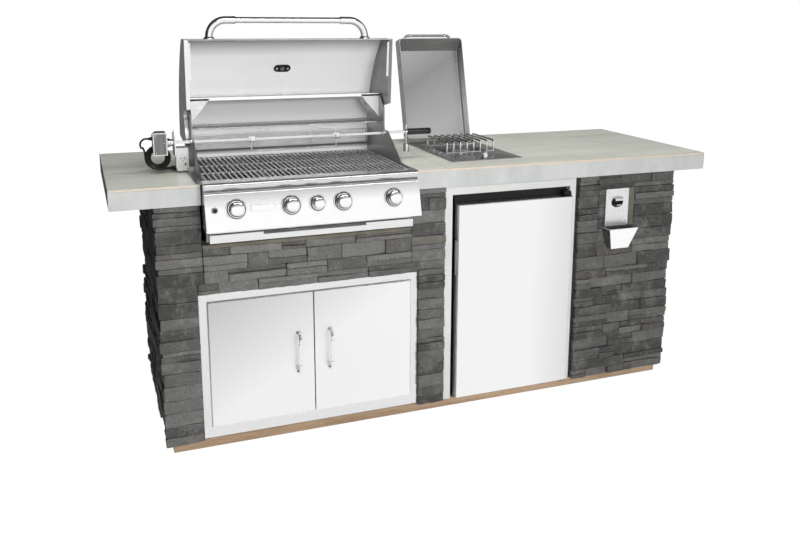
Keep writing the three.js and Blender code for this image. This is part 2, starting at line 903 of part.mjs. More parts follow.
function buildOpener() {
  const back = baseFront - seat;
  const front = back - openerPan;
  const left = openerCentre - openerWidth / 2;
  const right = openerCentre + openerWidth / 2;
  const pan = softPlate(left, right, openerPlateBottom, openerTop - sheet, front, back, leafEdge);
  const hookTop = openerTop - openerPan;
  const hook = prismX(
    [
      [front + seat, hookTop],
      [front - openerPan * 0.6, hookTop - openerPan * 0.3],
      [front - openerPan, hookTop - openerPan * 1.1],
      [front - openerPan * 0.8, hookTop - openerPan * 1.5],
      [front - openerPan * 0.45, hookTop - openerPan],
      [front - openerPan * 0.3, hookTop - openerPan * 1.2],
      [front - openerPan * 0.35, hookTop - openerPan * 2.2],
      [front + seat, hookTop - openerPan * 2.4],
    ],
    openerCentre - openerHookWidth / 2,
    openerCentre + openerHookWidth / 2,
  );
  add("opener_plate", join([pan, hook]), stainless);

  const top = openerPlateBottom + openerPan / 2;
  const bottom = top - bucketHeight;
  const plate = front - seat;
  const tub = (grow, low, high, y1) => {
    const taper = (bucketTopWidth - bucketBottomWidth) / 2 / bucketHeight;
    const lean = (bucketTopDepth - bucketBottomDepth) / bucketHeight;
    const half = (z) => bucketBottomWidth / 2 + taper * (z - bottom) - grow;
    const depth = (z) => bucketBottomDepth + lean * (z - bottom) - grow;
    const front = [
      [openerCentre - half(low), low],
      [openerCentre + half(low), low],
      [openerCentre + half(high), high],
      [openerCentre - half(high), high],
    ];
    const side = [
      [y1 - depth(low), low],
      [y1, low],
      [y1, high],
      [y1 - depth(high), high],
    ];
    return meet(
      prismY(front, y1 - depth(high), y1),
      prismX(side, openerCentre - half(high), openerCentre + half(high)),
    );
  };
  const outside = tub(0, bottom, top, plate);
  const inside = tub(bucketWall, bottom + bucketWall, top + overrun, plate - bucketWall);
  const rim = box(
    openerCentre - bucketTopWidth / 2,
    openerCentre + bucketTopWidth / 2,
    plate - bucketWall,
    plate,
    top - openerPan,
    top,
  );
  add("cap_bucket", join([cut(outside, [inside]), rim]), stainless);
}

// Grill: a lift-in stainless firebox. The wings at its two sides carry the hood and the rotisserie.
const frontWall = 396;
const fireboxTop = 1006;
const flangeWidth = 12;
const flangeDrop = 3;
const ledge = 18;
const grateTop = 1010;
const grateBar = 8;
const gratePitch = 23;
const wingSlopeFoot = -300;
const wingSlopeTop = -150;
const wingSlopeHeight = 1118;
const wingUprightTop = 1204;
const rimY = -48;
const rearRadius = 150;
const notchRadius = 10.5;
const runnerLip = 14;
const burnerLevel = 884;
const tamerLevel = 934;

// The curved back of the wings and the rear housing, round the hood's pivot
function rearCurve(radius) {
  const start = 90 + THREE.MathUtils.radToDeg(Math.asin((pivotY - rimY) / radius));
  return arcPoints(pivotY, pivotZ, radius, start, 0, 9);
}

function wingOutline() {
  const notch = arcPoints(spitY, spitZ, notchRadius, 180, 360, 8);
  const rimZ = rearCurve(rearRadius)[0][1];
  return [
    [-frontWall, fireboxBottom - runnerDepth],
    [-frontWall, fireboxTop],
    [wingSlopeFoot, fireboxTop + grillRim],
    [wingSlopeTop, wingSlopeHeight],
    [spitY - notchRadius, wingSlopeHeight],
    ...notch,
    [spitY + notchRadius, wingUprightTop],
    [rimY, rimZ],
    ...rearCurve(rearRadius).slice(1),
    [fireboxBack, fireboxBottom - runnerDepth],
  ];
}

function buildFirebox() {
  const left = grillCentre - wingOutside;
  const right = grillCentre + wingOutside;
  const innerLeft = left + sheet;
  const innerRight = right - sheet;
  const front = -frontWall;
  const flangeBottom = counterTop + seat;
  const flangeLeft = [cutLeft - flangeWidth, left + sheet];
  const flangeRight = [right - sheet, cutRight + flangeWidth];
  const pin = (x) => cylinder(pivotPin / 2, capThickness - seat, 12, "x").translate(x, pivotY, pivotZ);
  const boss = (x) => cylinder(pivotPin, 5 * seat - seat, 14, "x").translate(x, pivotY, pivotZ);
  const shelf = (y0, y1, z) => box(innerLeft - seat, innerRight + seat, y0, y1, z - sheet, z);
  const grateSeat = grateTop - grateBar - 2 * seat;
  const firebox = join([
    prismX(wingOutline(), left, innerLeft),
    prismX(wingOutline(), innerRight, right),
    box(innerLeft - seat, innerRight + seat, front, front + sheet, fireboxBottom, fireboxTop),
    box(innerLeft - seat, innerRight + seat, fireboxBack - sheet, fireboxBack, fireboxBottom, fireboxTop),
    shelf(front + seat, front + ledge, grateSeat),
    shelf(fireboxBack - ledge, fireboxBack - seat, grateSeat),
    shelf(front + seat, front + ledge, burnerLevel),
    shelf(fireboxBack - ledge, fireboxBack - seat, burnerLevel),
    shelf(front + seat, front + ledge, tamerLevel),
    shelf(fireboxBack - ledge, fireboxBack - seat, tamerLevel),
    box(...flangeLeft, front, cutBack + flangeWidth, flangeBottom, flangeBottom + flangeDrop),
    box(...flangeRight, front, cutBack + flangeWidth, flangeBottom, flangeBottom + flangeDrop),
    box(
      innerLeft,
      innerRight,
      fireboxBack - sheet,
      cutBack + flangeWidth,
      flangeBottom,
      flangeBottom + flangeDrop,
    ),
    box(
      innerLeft - seat,
      innerLeft + runnerLip,
      front,
      fireboxBack,
      fireboxBottom - runnerDepth,
      fireboxBottom - runnerDepth + flangeDrop,
    ),
    box(
      innerRight - runnerLip,
      innerRight + seat,
      front,
      fireboxBack,
      fireboxBottom - runnerDepth,
      fireboxBottom - runnerDepth + flangeDrop,
    ),
    pin(left - capThickness - seat).translate(-seat, 0, 0),
    boss(left - 4 * seat),
    pin(right - seat).translate(5 * seat, 0, 0),
    boss(right),
  ]);
  add("grill_firebox", firebox, stainless);
}

// Rear housing: a curved back sheet with a rim, two corner gussets and the two slanted light cheeks
const rimHeight = 12;
const gussetReach = 78;
const gussetDrop = 88;
const lightLength = 46;
const lightWidth = 14;
const lightRise = 3;
const burnerPanelLow = 1044;
const burnerPanelHigh = 1102;
const burnerPanelDepth = 26;

function buildRearHousing() {
  const left = grillCentre - wingInside + seat;
  const right = grillCentre + wingInside - seat;
  const curve = rearCurve(rearRadius);
  const rimZ = curve[0][1];
  const back = [...curve, [fireboxBack, fireboxTop + flangeDrop + seat]];
  const skin = prismX(ribbon(back.slice().reverse(), sheet), left, right);
  const rim = prismX(
    [
      [rimY, rimZ - rimHeight],
      [rimY + sheet, rimZ - rimHeight],
      [rimY + sheet * 2, rimZ],
      [rimY, rimZ],
    ],
    left,
    right,
  );
  const corner = (sign) => {
    const edge = sign < 0 ? left : right;
    const inward = -sign;
    const top = rimZ - sheet;
    const triangle = [
      [edge, top],
      [edge, top - gussetDrop],
      [edge + inward * gussetReach, top],
    ];
    const slope = Math.hypot(gussetReach, gussetDrop);
    const off = [(inward * gussetDrop * sheet) / slope, (-gussetReach * sheet) / slope];
    const strip = [
      [edge, top - gussetDrop],
      [edge + inward * gussetReach, top],
      [edge + inward * gussetReach + off[0], top + off[1]],
      [edge + off[0], top - gussetDrop + off[1]],
    ];
    const ordered = (points) => (sign < 0 ? points : points.slice().reverse());
    const light = prismZ(
      shapeOf([
        ...arcPoints(0, (lightLength - lightWidth) / 2, lightWidth / 2, 0, 180, 5),
        ...arcPoints(0, -(lightLength - lightWidth) / 2, lightWidth / 2, 180, 360, 5),
      ]),
      0,
      lightRise + sheet / 2,
    );
    const tilt = Math.atan2(gussetDrop, gussetReach);
    light.rotateY(inward * (Math.PI - tilt));
    light.translate(
      edge + (inward * gussetReach) / 2 + off[0] / 2,
      rimY + lightLength,
      top - gussetDrop / 2 + off[1] / 2,
    );
    const cheek = meet(
      prismY(ordered(strip), rimY, rimY + rearRadius / 2),
      prismX([...curve, [rimY, pivotZ]].reverse(), left, right),
    );
    return [prismY(ordered(triangle), rimY, rimY + sheet), cheek, light];
  };
  add("rear_housing", join([skin, rim, ...corner(-1), ...corner(1)]), stainless);

  const panelBack = fireboxBack - sheet - seat;
  const panelFront = panelBack - burnerPanelDepth;
  const x0 = left + grillRim;
  const x1 = right - grillRim;
  const third = (x1 - x0) / 3;
  const frame = box(x0, x1, panelFront, panelBack, burnerPanelLow, burnerPanelHigh);
  const wells = [0, 1, 2].map((i) =>
    box(
      x0 + i * third + sheet,
      x0 + (i + 1) * third - sheet,
      panelFront - overrun,
      panelFront + sheet,
      burnerPanelLow + sheet,
      burnerPanelHigh - sheet,
    ),
  );
  add("rear_burner", cut(frame, wells), ceramic);
}

// Control panel: a bullnosed rail over a face that leans out at its foot
const railTop = 1012;
const railFront = 456;
const railRadius = 15;
const faceTop = 978;
const faceFoot = 490;
const panelFoot = 848;
const footReturn = 10;
const bezelRadius = 37;
const bezelSmall = 31;
const bezelHeight = 7;
const knobRadius = 24;
const knobHeight = 27;
const knobHub = 9;
const buttonRadius = 8;
const buttonTravel = 3;
const knobMargin = 104;
const knobSpacing = 94;
const igniterMargin = 32;
const knobDrop = 60;
const knobOuter = panelWidth / 2 - knobMargin;
const knobOffsets = [-knobOuter, -knobSpacing, 0, knobSpacing, knobOuter];
const igniterOffset = igniterMargin - panelWidth / 2;

const panelBack = -frontWall - seat;
const faceLean = Math.atan2(faceFoot - railFront, faceTop - panelFoot);
const faceGroup = new THREE.Group();
faceGroup.position.set(grillCentre, -railFront, faceTop);
faceGroup.rotation.x = Math.PI / 2 - faceLean;
island.add(faceGroup);

// Places a piece on the panel face: across from its middle, and down from its top edge
function onFace(geometry, across, down) {
  faceGroup.updateMatrixWorld(true);
  return geometry.translate(across, -down, 0).applyMatrix4(faceGroup.matrixWorld);
}

function buildControlPanel() {
  const nose = arcPoints(-railFront + railRadius - 5 * seat, railTop - railRadius, railRadius, 90, 225, 6);
  const outline = [
    [panelBack, railTop],
    ...nose,
    [-railFront, faceTop],
    [-faceFoot, panelFoot],
    [-faceFoot + footReturn, panelFoot - footReturn / 2],
    [panelBack, panelFoot - footReturn / 2],
  ];
  const body = prismX(outline.slice().reverse(), grillCentre - panelWidth / 2, grillCentre + panelWidth / 2);
  const bezel = (radius, height) =>
    turned(
      [[0, -sheet], [radius, -sheet], [radius, height * 0.3], [radius - height * 0.8, height], [0, height]],
      14,
    );
  const bezels = knobOffsets.map(
    (x, i) => onFace(bezel(i === 2 ? bezelSmall : bezelRadius, bezelHeight), x, knobDrop),
  );
  const well = onFace(cylinder(buttonRadius + seat, bezelHeight * 2, 16), igniterOffset, knobDrop);
  const ring = onFace(bezel(buttonRadius * 1.5, sheet), igniterOffset, knobDrop);
  add("control_panel", cut(join([body, ...bezels, ring]), [well]), stainless);

  knobOffsets.forEach((x, i) => {
    const share = i === 2 ? bezelSmall / bezelRadius : 1;
    const r = knobRadius * share;
    const profile = [
      [0, 0],
      [r, 0],
      [r, knobHeight * 0.35],
      [r * 0.86, knobHeight * 0.5],
      [r * 0.86, knobHeight * 0.86],
      [r * 0.7, knobHeight],
      [0, knobHeight],
    ];
    const grip = box(-knobHub / 2, knobHub / 2, -r, r * 0.9, knobHeight * 0.4, knobHeight + sheet);
    const knob = add("burner_knob_" + (i + 1), join([turned(profile, 14), grip]), chrome, faceGroup);
    knob.position.set(x, -knobDrop, bezelHeight + seat);
  });
  const button = turned(
    [[0, 0], [buttonRadius, 0], [buttonRadius, sheet], [buttonRadius * 0.6, sheet * 1.5], [0, sheet * 1.5]],
    14,
  );
  const igniter = add("igniter_button", button, blackRubber, faceGroup);
  igniter.position.set(igniterOffset, -knobDrop, buttonTravel + seat);
}

// Cooking grate, flame tamers, burners, warming rack and drip tray
const tamerCount = 4;
const tamerHalf = 58;
const tamerRise = 34;
const tamerSheet = 2;
const burnerRadius = 21;
const crossoverRadius = 12;
const rackZ = 1146;
const rackFront = -62;
const rackDepth = 128;
const rackPitch = 34;
const rackRod = 3.2;
const rackFrame = 4;
const trayHeight = 26;
const trayFront = 440;
const trayLip = 14;

function buildGrillInside() {
  const left = grillCentre - wingInside + runningGap;
  const right = grillCentre + wingInside - runningGap;
  const front = -frontWall + sheet + runningGap;
  const back = fireboxBack - sheet - runningGap;
  const barZ = grateTop - grateBar / 2;
  const bars = [];
  const count = Math.floor((right - left - grateBar) / gratePitch);
  const pitch = (right - left - grateBar) / count;
  for (let i = 0; i <= count; i++) {
    const x = left + grateBar / 2 + i * pitch;
    bars.push(straight([x, front + grateBar / 2, barZ], [x, back - grateBar / 2, barZ], grateBar / 2, 4));
  }
  const rail = (y) => box(left, right, y, y + grateBar, barZ - grateBar / 2 - seat, barZ + grateBar / 2);
  const rails = [rail(front), rail(back - grateBar)];
  add("cooking_grate", join([...rails, ...bars]), castIron);

  const spacing = (right - left) / tamerCount;
  const tamers = [];
  const burners = [];
  for (let i = 0; i < tamerCount; i++) {
    const x = left + spacing * (i + 0.5);
    const low = tamerLevel + seat;
    const vee = [
      [x - tamerHalf, low],
      [x - tamerHalf + tamerSheet * 2, low],
      [x, low + tamerRise],
      [x + tamerHalf - tamerSheet * 2, low],
      [x + tamerHalf, low],
      [x, low + tamerRise + tamerSheet * 1.5],
    ];
    tamers.push(prismY(vee, front, back));
    const tubeZ = burnerLevel + seat + burnerRadius;
    burners.push(
      turned(
        [[0, 0], [burnerRadius, 0], [burnerRadius, back - front], [0, back - front]],
        8,
      )
        .rotateZ(Math.PI / 8)
        .rotateX(-Math.PI / 2)
        .translate(x, front, tubeZ - burnerRadius * (1 - Math.cos(Math.PI / 8))),
    );
  }
  const tieLeft = left + spacing / 2 - tamerHalf / 2;
  const tieRight = right - spacing / 2 + tamerHalf / 2;
  const tieZ = tamerLevel + tamerRise / 2;
  const tie = (y) => box(tieLeft, tieRight, y, y + ledge / 2, tieZ, tieZ + tamerSheet);
  add("flame_tamers", join([...tamers, tie(front + ledge), tie(back - 2 * ledge)]), brushedSheet);
  const linkZ = burnerLevel + burnerRadius;
  const link = straight(
    [left + spacing / 2, back - ledge * 2, linkZ],
    [right - spacing / 2, back - ledge * 2, linkZ],
    crossoverRadius,
    6,
  );
  add("burner_tubes", join([...burners, link]), brushedSheet);

  const rackLeft = grillCentre - wingInside + seat;
  const rackRight = grillCentre + wingInside - seat;
  const rackBack = rackFront + rackDepth;
  const rods = [];
  const rodCount = Math.floor((rackRight - rackLeft) / rackPitch);
  for (let i = 1; i < rodCount; i++) {
    const x = rackLeft + ((rackRight - rackLeft) * i) / rodCount;
    rods.push(straight([x, rackFront, rackZ], [x, rackBack, rackZ], rackRod / 2, 4));
  }
  const frameRods = [rackFront, rackBack].map((y) =>
    straight([rackLeft, y, rackZ], [rackRight, y, rackZ], rackFrame / 2, 6),
  );
  add("warming_rack", join([...frameRods, ...rods]), stainless);

  const trayLeft = grillCentre - wingInside + seat * 2;
  const trayRight = grillCentre + wingInside - seat * 2;
  const trayBottom = fireboxBottom - runnerDepth + flangeDrop + seat;
  const trayTop = trayBottom + trayHeight;
  const tray = cut(box(trayLeft, trayRight, -trayFront + sheet, back, trayBottom, trayTop), [
    box(
      trayLeft + sheet,
      trayRight - sheet,
      -trayFront + sheet * 2,
      back - sheet,
      trayBottom + tamerSheet,
      trayTop + overrun,
    ),
  ]);
  const face = softPlate(
    trayLeft,
    trayRight,
    trayBottom,
    trayTop + sheet,
    -trayFront,
    -trayFront + sheet * 2,
    tamerSheet,
  );
  const lip = prismX(
    [
      [-trayFront + tamerSheet, trayTop],
      [-trayFront - trayLip, trayTop - sheet],
      [-trayFront - trayLip, trayTop - sheet + tamerSheet],
      [-trayFront + tamerSheet, trayTop + sheet],
    ],
    trayLeft + spacing,
    trayRight - spacing,
  );
  add("drip_tray", join([tray, face, lip]), stainless);
}

// Hood: drawn closed about its pivot, and turned open as a whole
const hoodFront = 412;
const hoodLow = 1022;
const hoodFaceHeight = 90;
const hoodFaceLean = 8;
const hoodCrown = 530;
const hoodRearY = -10;
const hoodRearZ = 1275;
const hoodSheet = 6;
const earRadius = 32;
const capSlopeFoot = 42;
const handleHalf = 298;
const handleBarHalf = 208;
const handleRise = 70;
const handleBar = 11;
const elbowRadius = 14;
const elbowBase = 20;
const handleUp = 57;
const dialShare = 0.36;
const dialRadius = 38;
const dialHeight = 10;
const dialStem = 9;
const plateLength = 66;
const plateWidth = 33;

const hoodGroup = new THREE.Group();
hoodGroup.position.set(grillCentre, pivotY, pivotZ);
hoodGroup.rotation.x = -THREE.MathUtils.degToRad(hoodOpenAngle);
island.add(hoodGroup);

// The hood's outer line, closed, from its front lip over the crown to its rear edge
function hoodLine() {
  const bend = [-hoodFront + hoodFaceLean, hoodLow + hoodFaceHeight];
  const end = [hoodRearY, hoodRearZ];
  const chord = Math.hypot(end[0] - bend[0], end[1] - bend[1]);
  const middle = [(bend[0] + end[0]) / 2, (bend[1] + end[1]) / 2];
  const drop = Math.sqrt(hoodCrown * hoodCrown - (chord * chord) / 4);
  const centre = [
    middle[0] + ((end[1] - bend[1]) / chord) * drop,
    middle[1] - ((end[0] - bend[0]) / chord) * drop,
  ];
  const from = THREE.MathUtils.radToDeg(Math.atan2(bend[1] - centre[1], bend[0] - centre[0]));
  const to = THREE.MathUtils.radToDeg(Math.atan2(end[1] - centre[1], end[0] - centre[0]));
  const crown = arcPoints(centre[0], centre[1], hoodCrown, from, to, 14);
  return { points: [[-hoodFront, hoodLow], ...crown], centre, from, to };
}

const fromPivot = (points) => points.map(([y, z]) => [y - pivotY, z - pivotZ]);

function buildHood() {
  const line = hoodLine();
  const shell = prismX(
    ribbon(fromPivot(line.points).slice().reverse(), hoodSheet),
    -hoodWidth / 2,
    hoodWidth / 2,
  );
  const slot = arcPoints(spitY, spitZ, notchRadius + sheet, 180, 0, 6);
  const ear = arcPoints(pivotY, pivotZ, earRadius, 225, 350, 8);
  const outline = fromPivot([
    ...line.points,
    ...ear.slice().reverse(),
    ...slot.slice().reverse(),
    [spitY - capSlopeFoot, hoodLow],
  ]);
  const pinHole = (x) =>
    cylinder(pivotPin / 2 + seat, capThickness + 2 * overrun, 12, "x").translate(x - overrun, 0, 0);
  const cap = (x0) => cut(prismX(outline, x0, x0 + capThickness), [pinHole(x0)]);
  const stemAt = fromPivot([onCrown(line, dialShare)])[0];
  const lean = crownTilt(line, dialShare);
  const stemHole = cylinder(dialStem + seat, hoodSheet * 6, 18)
    .translate(0, 0, -hoodSheet * 3)
    .rotateX(lean)
    .translate(0, stemAt[0], stemAt[1]);
  const whole = join([shell, cap(-hoodWidth / 2), cap(hoodInside)]);
  add("hood_shell", cut(whole, [stemHole]), stainless, hoodGroup);

  const dial = [
    [0, -hoodSheet - sheet * 2],
    [dialStem, -hoodSheet - sheet * 2],
    [dialStem, seat],
    [dialRadius, seat],
    [dialRadius, dialHeight * 0.6],
    [dialRadius * 0.88, dialHeight],
    [0, dialHeight],
  ];
  const inside = prismZ(
    shapeOf([
      ...arcPoints((plateLength - plateWidth) / 2, 0, plateWidth / 2, -90, 90, 6),
      ...arcPoints(-(plateLength - plateWidth) / 2, 0, plateWidth / 2, 90, 270, 6),
    ]),
    -hoodSheet - sheet - seat * 2,
    -hoodSheet - seat * 4,
  );
  const thermometer = add("thermometer", join([turned(dial, 18), inside]), chrome, hoodGroup);
  thermometer.rotation.x = lean;
  thermometer.position.set(0, stemAt[0], stemAt[1]);

  const faceTilt = Math.atan2(hoodFaceLean, hoodFaceHeight);
  const base = [
    -hoodFront + Math.sin(faceTilt) * handleUp - Math.cos(faceTilt) * seat,
    hoodLow + Math.cos(faceTilt) * handleUp + Math.sin(faceTilt) * seat,
  ];
  const elbow = (sign) =>
    tubeThrough(
      bentLine(
        [
          [sign * handleHalf, 0, 0],
          [sign * handleHalf, 0, handleRise],
          [sign * handleBarHalf, 0, handleRise],
        ],
        handleRise * 0.9,
        6,
      ),
      elbowRadius,
      8,
      alongY,
    );
  const foot = (sign) =>
    turned([[0, 0], [elbowBase, 0], [elbowRadius, elbowBase / 2], [0, elbowBase / 2]], 12).translate(
      sign * handleHalf,
      0,
      0,
    );
  const bar = straight(
    [-handleBarHalf - overrun, 0, handleRise],
    [handleBarHalf + overrun, 0, handleRise],
    handleBar,
    12,
  );
  const handle = add("hood_handle", join([elbow(-1), elbow(1), foot(-1), foot(1), bar]), chrome, hoodGroup);
  handle.rotation.x = Math.PI / 2 - faceTilt;
  handle.position.set(0, base[0] - pivotY, base[1] - pivotZ);
}

// A point on the crown at a share of its sweep, and the tilt of the skin there
function onCrown(line, share) {
  const angle = THREE.MathUtils.degToRad(line.from + (line.to - line.from) * share);
  return [line.centre[0] + hoodCrown * Math.cos(angle), line.centre[1] + hoodCrown * Math.sin(angle)];
}

function crownTilt(line, share) {
  const angle = line.from + (line.to - line.from) * share;
  return THREE.MathUtils.degToRad(angle - 90);
}

// Rotisserie: bracket, motor, square spit with two forks, and the grip with its counterweight
const bracketReach = 45.5;
const bracketWide = 50;
const bracketBaseTop = 1018;
const bracketBoxTop = 1090;
const hookPlate = 4;
const hookPlateHalf = 40;
const hookPlateLow = 1062;
const hookPlateHigh = 1158;
const motorWidth = 50;
const motorDepth = 80;
const motorHeight = 83;
const motorEdge = 6;
const neckLength = 24;
const neckRadius = 19;
const glandLength = 14;
const glandDrop = 24;
const bushLength = 14;
const gripClear = 67;
const gripLength = 112;
const gripRadius = 13;
const ferruleLength = 9;
const weightArm = 2.5;
const weightRadius = 12;
const weightLow = 80;
const weightHigh = 48;
const armTop = 30;
const forkLeft = 160;
const forkRight = 172;
const forkCollar = 22;
const forkLength = 22;
const tineRadius = 2;
const tineReach = 44;
const tineLength = 124;
const tineShort = 30;

const bracketLeft = grillCentre - hoodWidth / 2 - 5 * seat - bracketReach;
const gripStart = grillCentre + hoodWidth / 2 + gripClear;
const forkAt = [grillCentre - forkLeft, grillCentre + forkRight];
const motorRight = bracketLeft - hookPlate - seat - neckLength;
const motorLeft = motorRight - motorWidth;
const motorBack = spitY + motorDepth / 2;

function buildRotisserie() {
  const wingLeft = grillCentre - wingOutside;
  const wingRight = grillCentre + wingOutside;
  const bedZ = counterTop + seat + flangeDrop + seat;
  const capClear = grillCentre - hoodWidth / 2 - 5 * seat;
  const plate = cut(
    box(
      bracketLeft - hookPlate,
      bracketLeft,
      spitY - hookPlateHalf,
      spitY + hookPlateHalf,
      hookPlateLow,
      hookPlateHigh,
    ),
    [cylinder(spitBar + sheet, hookPlate * 3, 12, "x").translate(bracketLeft - 2 * hookPlate, spitY, spitZ)],
  );
  const bracket = join([
    box(bracketLeft, wingLeft - seat, spitY - bracketWide / 2, spitY + bracketWide / 2, bedZ, bracketBaseTop),
    box(bracketLeft - seat, capClear, spitY - bracketWide / 2, spitY + bracketWide / 2, bedZ, bracketBoxTop),
    plate,
  ]);
  add("spit_bracket", bracket, brushedSheet);

  const low = spitZ - motorHeight / 2;
  const high = spitZ + motorHeight / 2;
  const casing = softPlate(motorLeft, motorRight, low, high, spitY - motorDepth / 2, motorBack, motorEdge);
  const neck = cylinder(neckRadius, neckLength + overrun, 16, "x").translate(
    motorRight - overrun,
    spitY,
    spitZ,
  );
  const gland = turned(
    [[0, -overrun], [glandLength / 2, -overrun], [cordDiameter * 0.64, glandLength], [0, glandLength]],
    10,
    "x",
  )
    .rotateZ(Math.PI)
    .translate(motorLeft, spitY, high - glandDrop);
  const socket = cylinder(spitBar, neckLength, 12, "x").translate(motorRight, spitY, spitZ);
  add("spit_motor", cut(join([casing, neck, gland]), [socket.translate(seat, 0, 0)]), trimPaint);

  const half = spitBar / 2;
  const rodStart = motorRight + 2 * seat;
  const rodEnd = gripStart - seat;
  const bush = (x) =>
    cylinder(notchRadius - seat, bushLength, 14, "x").translate(x - bushLength / 2, spitY, spitZ);
  const rod = join([
    box(rodStart, rodEnd, spitY - half, spitY + half, spitZ - half, spitZ + half),
    bush(wingLeft + sheet / 2),
    bush(wingRight - sheet / 2),
  ]);
  add("spit_rod", rod, stainless);

  forkAt.forEach((x, i) => {
    const toward = i === 0 ? 1 : -1;
    const tine = (reach, length) =>
      tubeThrough(
        bentLine(
          [
            [x, spitY, spitZ + reach * 0.15],
            [x, spitY, spitZ + reach],
            [x + toward * length, spitY, spitZ + reach],
          ],
          tineRadius * 4,
          3,
        ),
        tineRadius,
        6,
        alongY,
      );
    const collar = box(
      x - forkLength / 2,
      x + forkLength / 2,
      spitY - forkCollar / 2,
      spitY + forkCollar / 2,
      spitZ - forkCollar / 2,
      spitZ + forkCollar / 2,
    );
    const screw = cylinder(forkCollar / 4, forkCollar / 2, 8, "y").rotateX(Math.PI).translate(
      x,
      spitY - forkCollar / 2 + sheet / 2,
      spitZ,
    );
    const bore = box(
      x - forkLength,
      x + forkLength,
      spitY - half - seat,
      spitY + half + seat,
      spitZ - half - seat,
      spitZ + half + seat,
    );
    const name = "spit_fork_" + (i === 0 ? "left" : "right");
    const fork = cut(
      join([collar, screw, tine(-tineReach, tineLength), tine(tineShort, tineLength * 0.75)]),
      [bore],
    );
    add(name, fork, stainless);
  });

  const r = gripRadius;
  const profile = [
    [0, 0],
    [r * 0.62, 0],
    [r * 0.62, ferruleLength],
    [r, ferruleLength + r * 0.2],
    [r, gripLength - r * 0.6],
    [r * 0.7, gripLength],
    [0, gripLength],
  ];
  const armX = gripStart + ferruleLength / 2;
  const weight = join([
    turned(profile, 16, "x").translate(gripStart, spitY, spitZ),
    straight([armX, spitY, spitZ + armTop], [armX, spitY, spitZ - weightHigh - overrun], weightArm, 6),
    cylinder(weightRadius, weightLow - weightHigh, 14).translate(armX, spitY, spitZ - weightLow),
  ]);
  add("spit_grip", weight, blackRubber);
}

// The motor's cord: a short free lead, a coil that stands against the motor's back, and the plug behind it
const coilOuter = 46;
const coilInset = 22;
const coilPitch = 7.8;
const coilTurns = 5.25;
const coilSteps = 20;
const coilSides = 6;
const plugLength = 34;
const plugWidth = 24;
const plugThick = 13;
const plugRelief = 36;
const prongLength = 16;
const prongGap = 7;
const prongThickness = 2;

const cordRadius = cordDiameter / 2;
const coilX = motorLeft + coilInset;
const coilZ = counterTop + seat + cordRadius + coilOuter;
const coilY = motorBack + seat + cordRadius;

// The middle line of the coil: it spirals in on the front layer, climbs, and spirals out on the back layer
function coilLine() {
  const points = [];
  const steps = Math.round(coilTurns * coilSteps);
  const start = new THREE.Vector3(coilX - coilOuter, coilY, coilZ + cordDiameter);
  points.push(start);
  for (let i = 0; i <= steps; i++) {
    const turn = (coilTurns * i) / steps;
    const angle = Math.PI + 2 * Math.PI * turn;
    const radius = coilOuter - coilPitch * Math.min(turn, coilTurns - turn);
    const climb = THREE.MathUtils.smoothstep(turn, coilTurns / 2 - 0.25, coilTurns / 2 + 0.25);
    points.push(
      new THREE.Vector3(
        coilX + radius * Math.cos(angle),
        coilY + coilPitch * climb,
        coilZ + radius * Math.sin(angle),
      ),
    );
  }
  const last = points[points.length - 1];
  points.push(new THREE.Vector3(last.x + cordDiameter, last.y, last.z));
  return points;
}

// Least gap between turns of the coil, measured on its points
function leastGap(points) {
  let least = Infinity;
  const apart = Math.round(coilSteps / 2);
  for (let i = 0; i < points.length; i++) {
    for (let j = i + apart; j < points.length - 1; j++) {
      const segment = new THREE.Line3(points[j], points[j + 1]);
      const near = segment.closestPointToPoint(points[i], true, new THREE.Vector3());
      least = Math.min(least, near.distanceTo(points[i]) - cordDiameter);
    }
  }
  return least;
}

function lengthOf(points) {
  return points.slice(1).reduce((sum, point, i) => sum + point.distanceTo(points[i]), 0);
}

function buildCord() {
  const coil = coilLine();
  add("cord_coil", tubeThrough(coil, cordRadius, coilSides, alongY), blackRubber);
  const glandZ = spitZ + motorHeight / 2 - glandDrop;
  const exitX = motorLeft - glandLength - seat;
  const joinX = coilX - coilOuter;
  const route = [
    [exitX, spitY, glandZ],
    [exitX - 10, spitY, glandZ],
    [exitX - 21, spitY + 2, glandZ - 6],
    [exitX - 27, spitY + 6, glandZ - 18],
    [exitX - 24, spitY + 15, glandZ - 34],
    [joinX - 7, coilY - 13, coilZ + cordDiameter + 32],
    [joinX - 1, coilY - 2, coilZ + cordDiameter + 14],
    [joinX, coilY, coilZ + cordDiameter + seat + 6],
    [joinX, coilY, coilZ + cordDiameter + seat],
  ].map(vector);
  const curve = new THREE.CatmullRomCurve3(route, false, "centripetal");
  const lead = curve.getSpacedPoints(16);
  add("cord_lead", tubeThrough(lead, cordRadius, 8, alongY), blackRubber);
  const end = coil[coil.length - 1];
  const plugX = end.x + seat;
  const plugZ = counterTop + seat + plugThick / 2;
  const plug = join([
    straight([plugX, end.y, end.z + seat], [plugX + plugRelief + overrun, end.y, plugZ], cordRadius + seat, 8),
    box(
      plugX + plugRelief,
      plugX + plugRelief + plugLength,
      end.y - plugWidth / 2,
      end.y + plugWidth / 2,
      plugZ - plugThick / 2,
      plugZ + plugThick / 2,
    ),
    ...[-prongGap, prongGap].map((y) =>
      box(
        plugX + plugRelief + plugLength - seat,
        plugX + plugRelief + plugLength + prongLength,
        end.y + y - prongThickness / 2,
        end.y + y + prongThickness / 2,
        plugZ - prongGap / 2,
        plugZ + prongGap / 2,
      ),
    ),
  ]);
  add("cord_plug", plug, blackRubber);
  console.log(
    "Coil: least gap",
    leastGap(coil).toFixed(2),
    "mm; cord",
    (lengthOf(coil) + lengthOf(lead)).toFixed(0),
    "mm",
  );
}

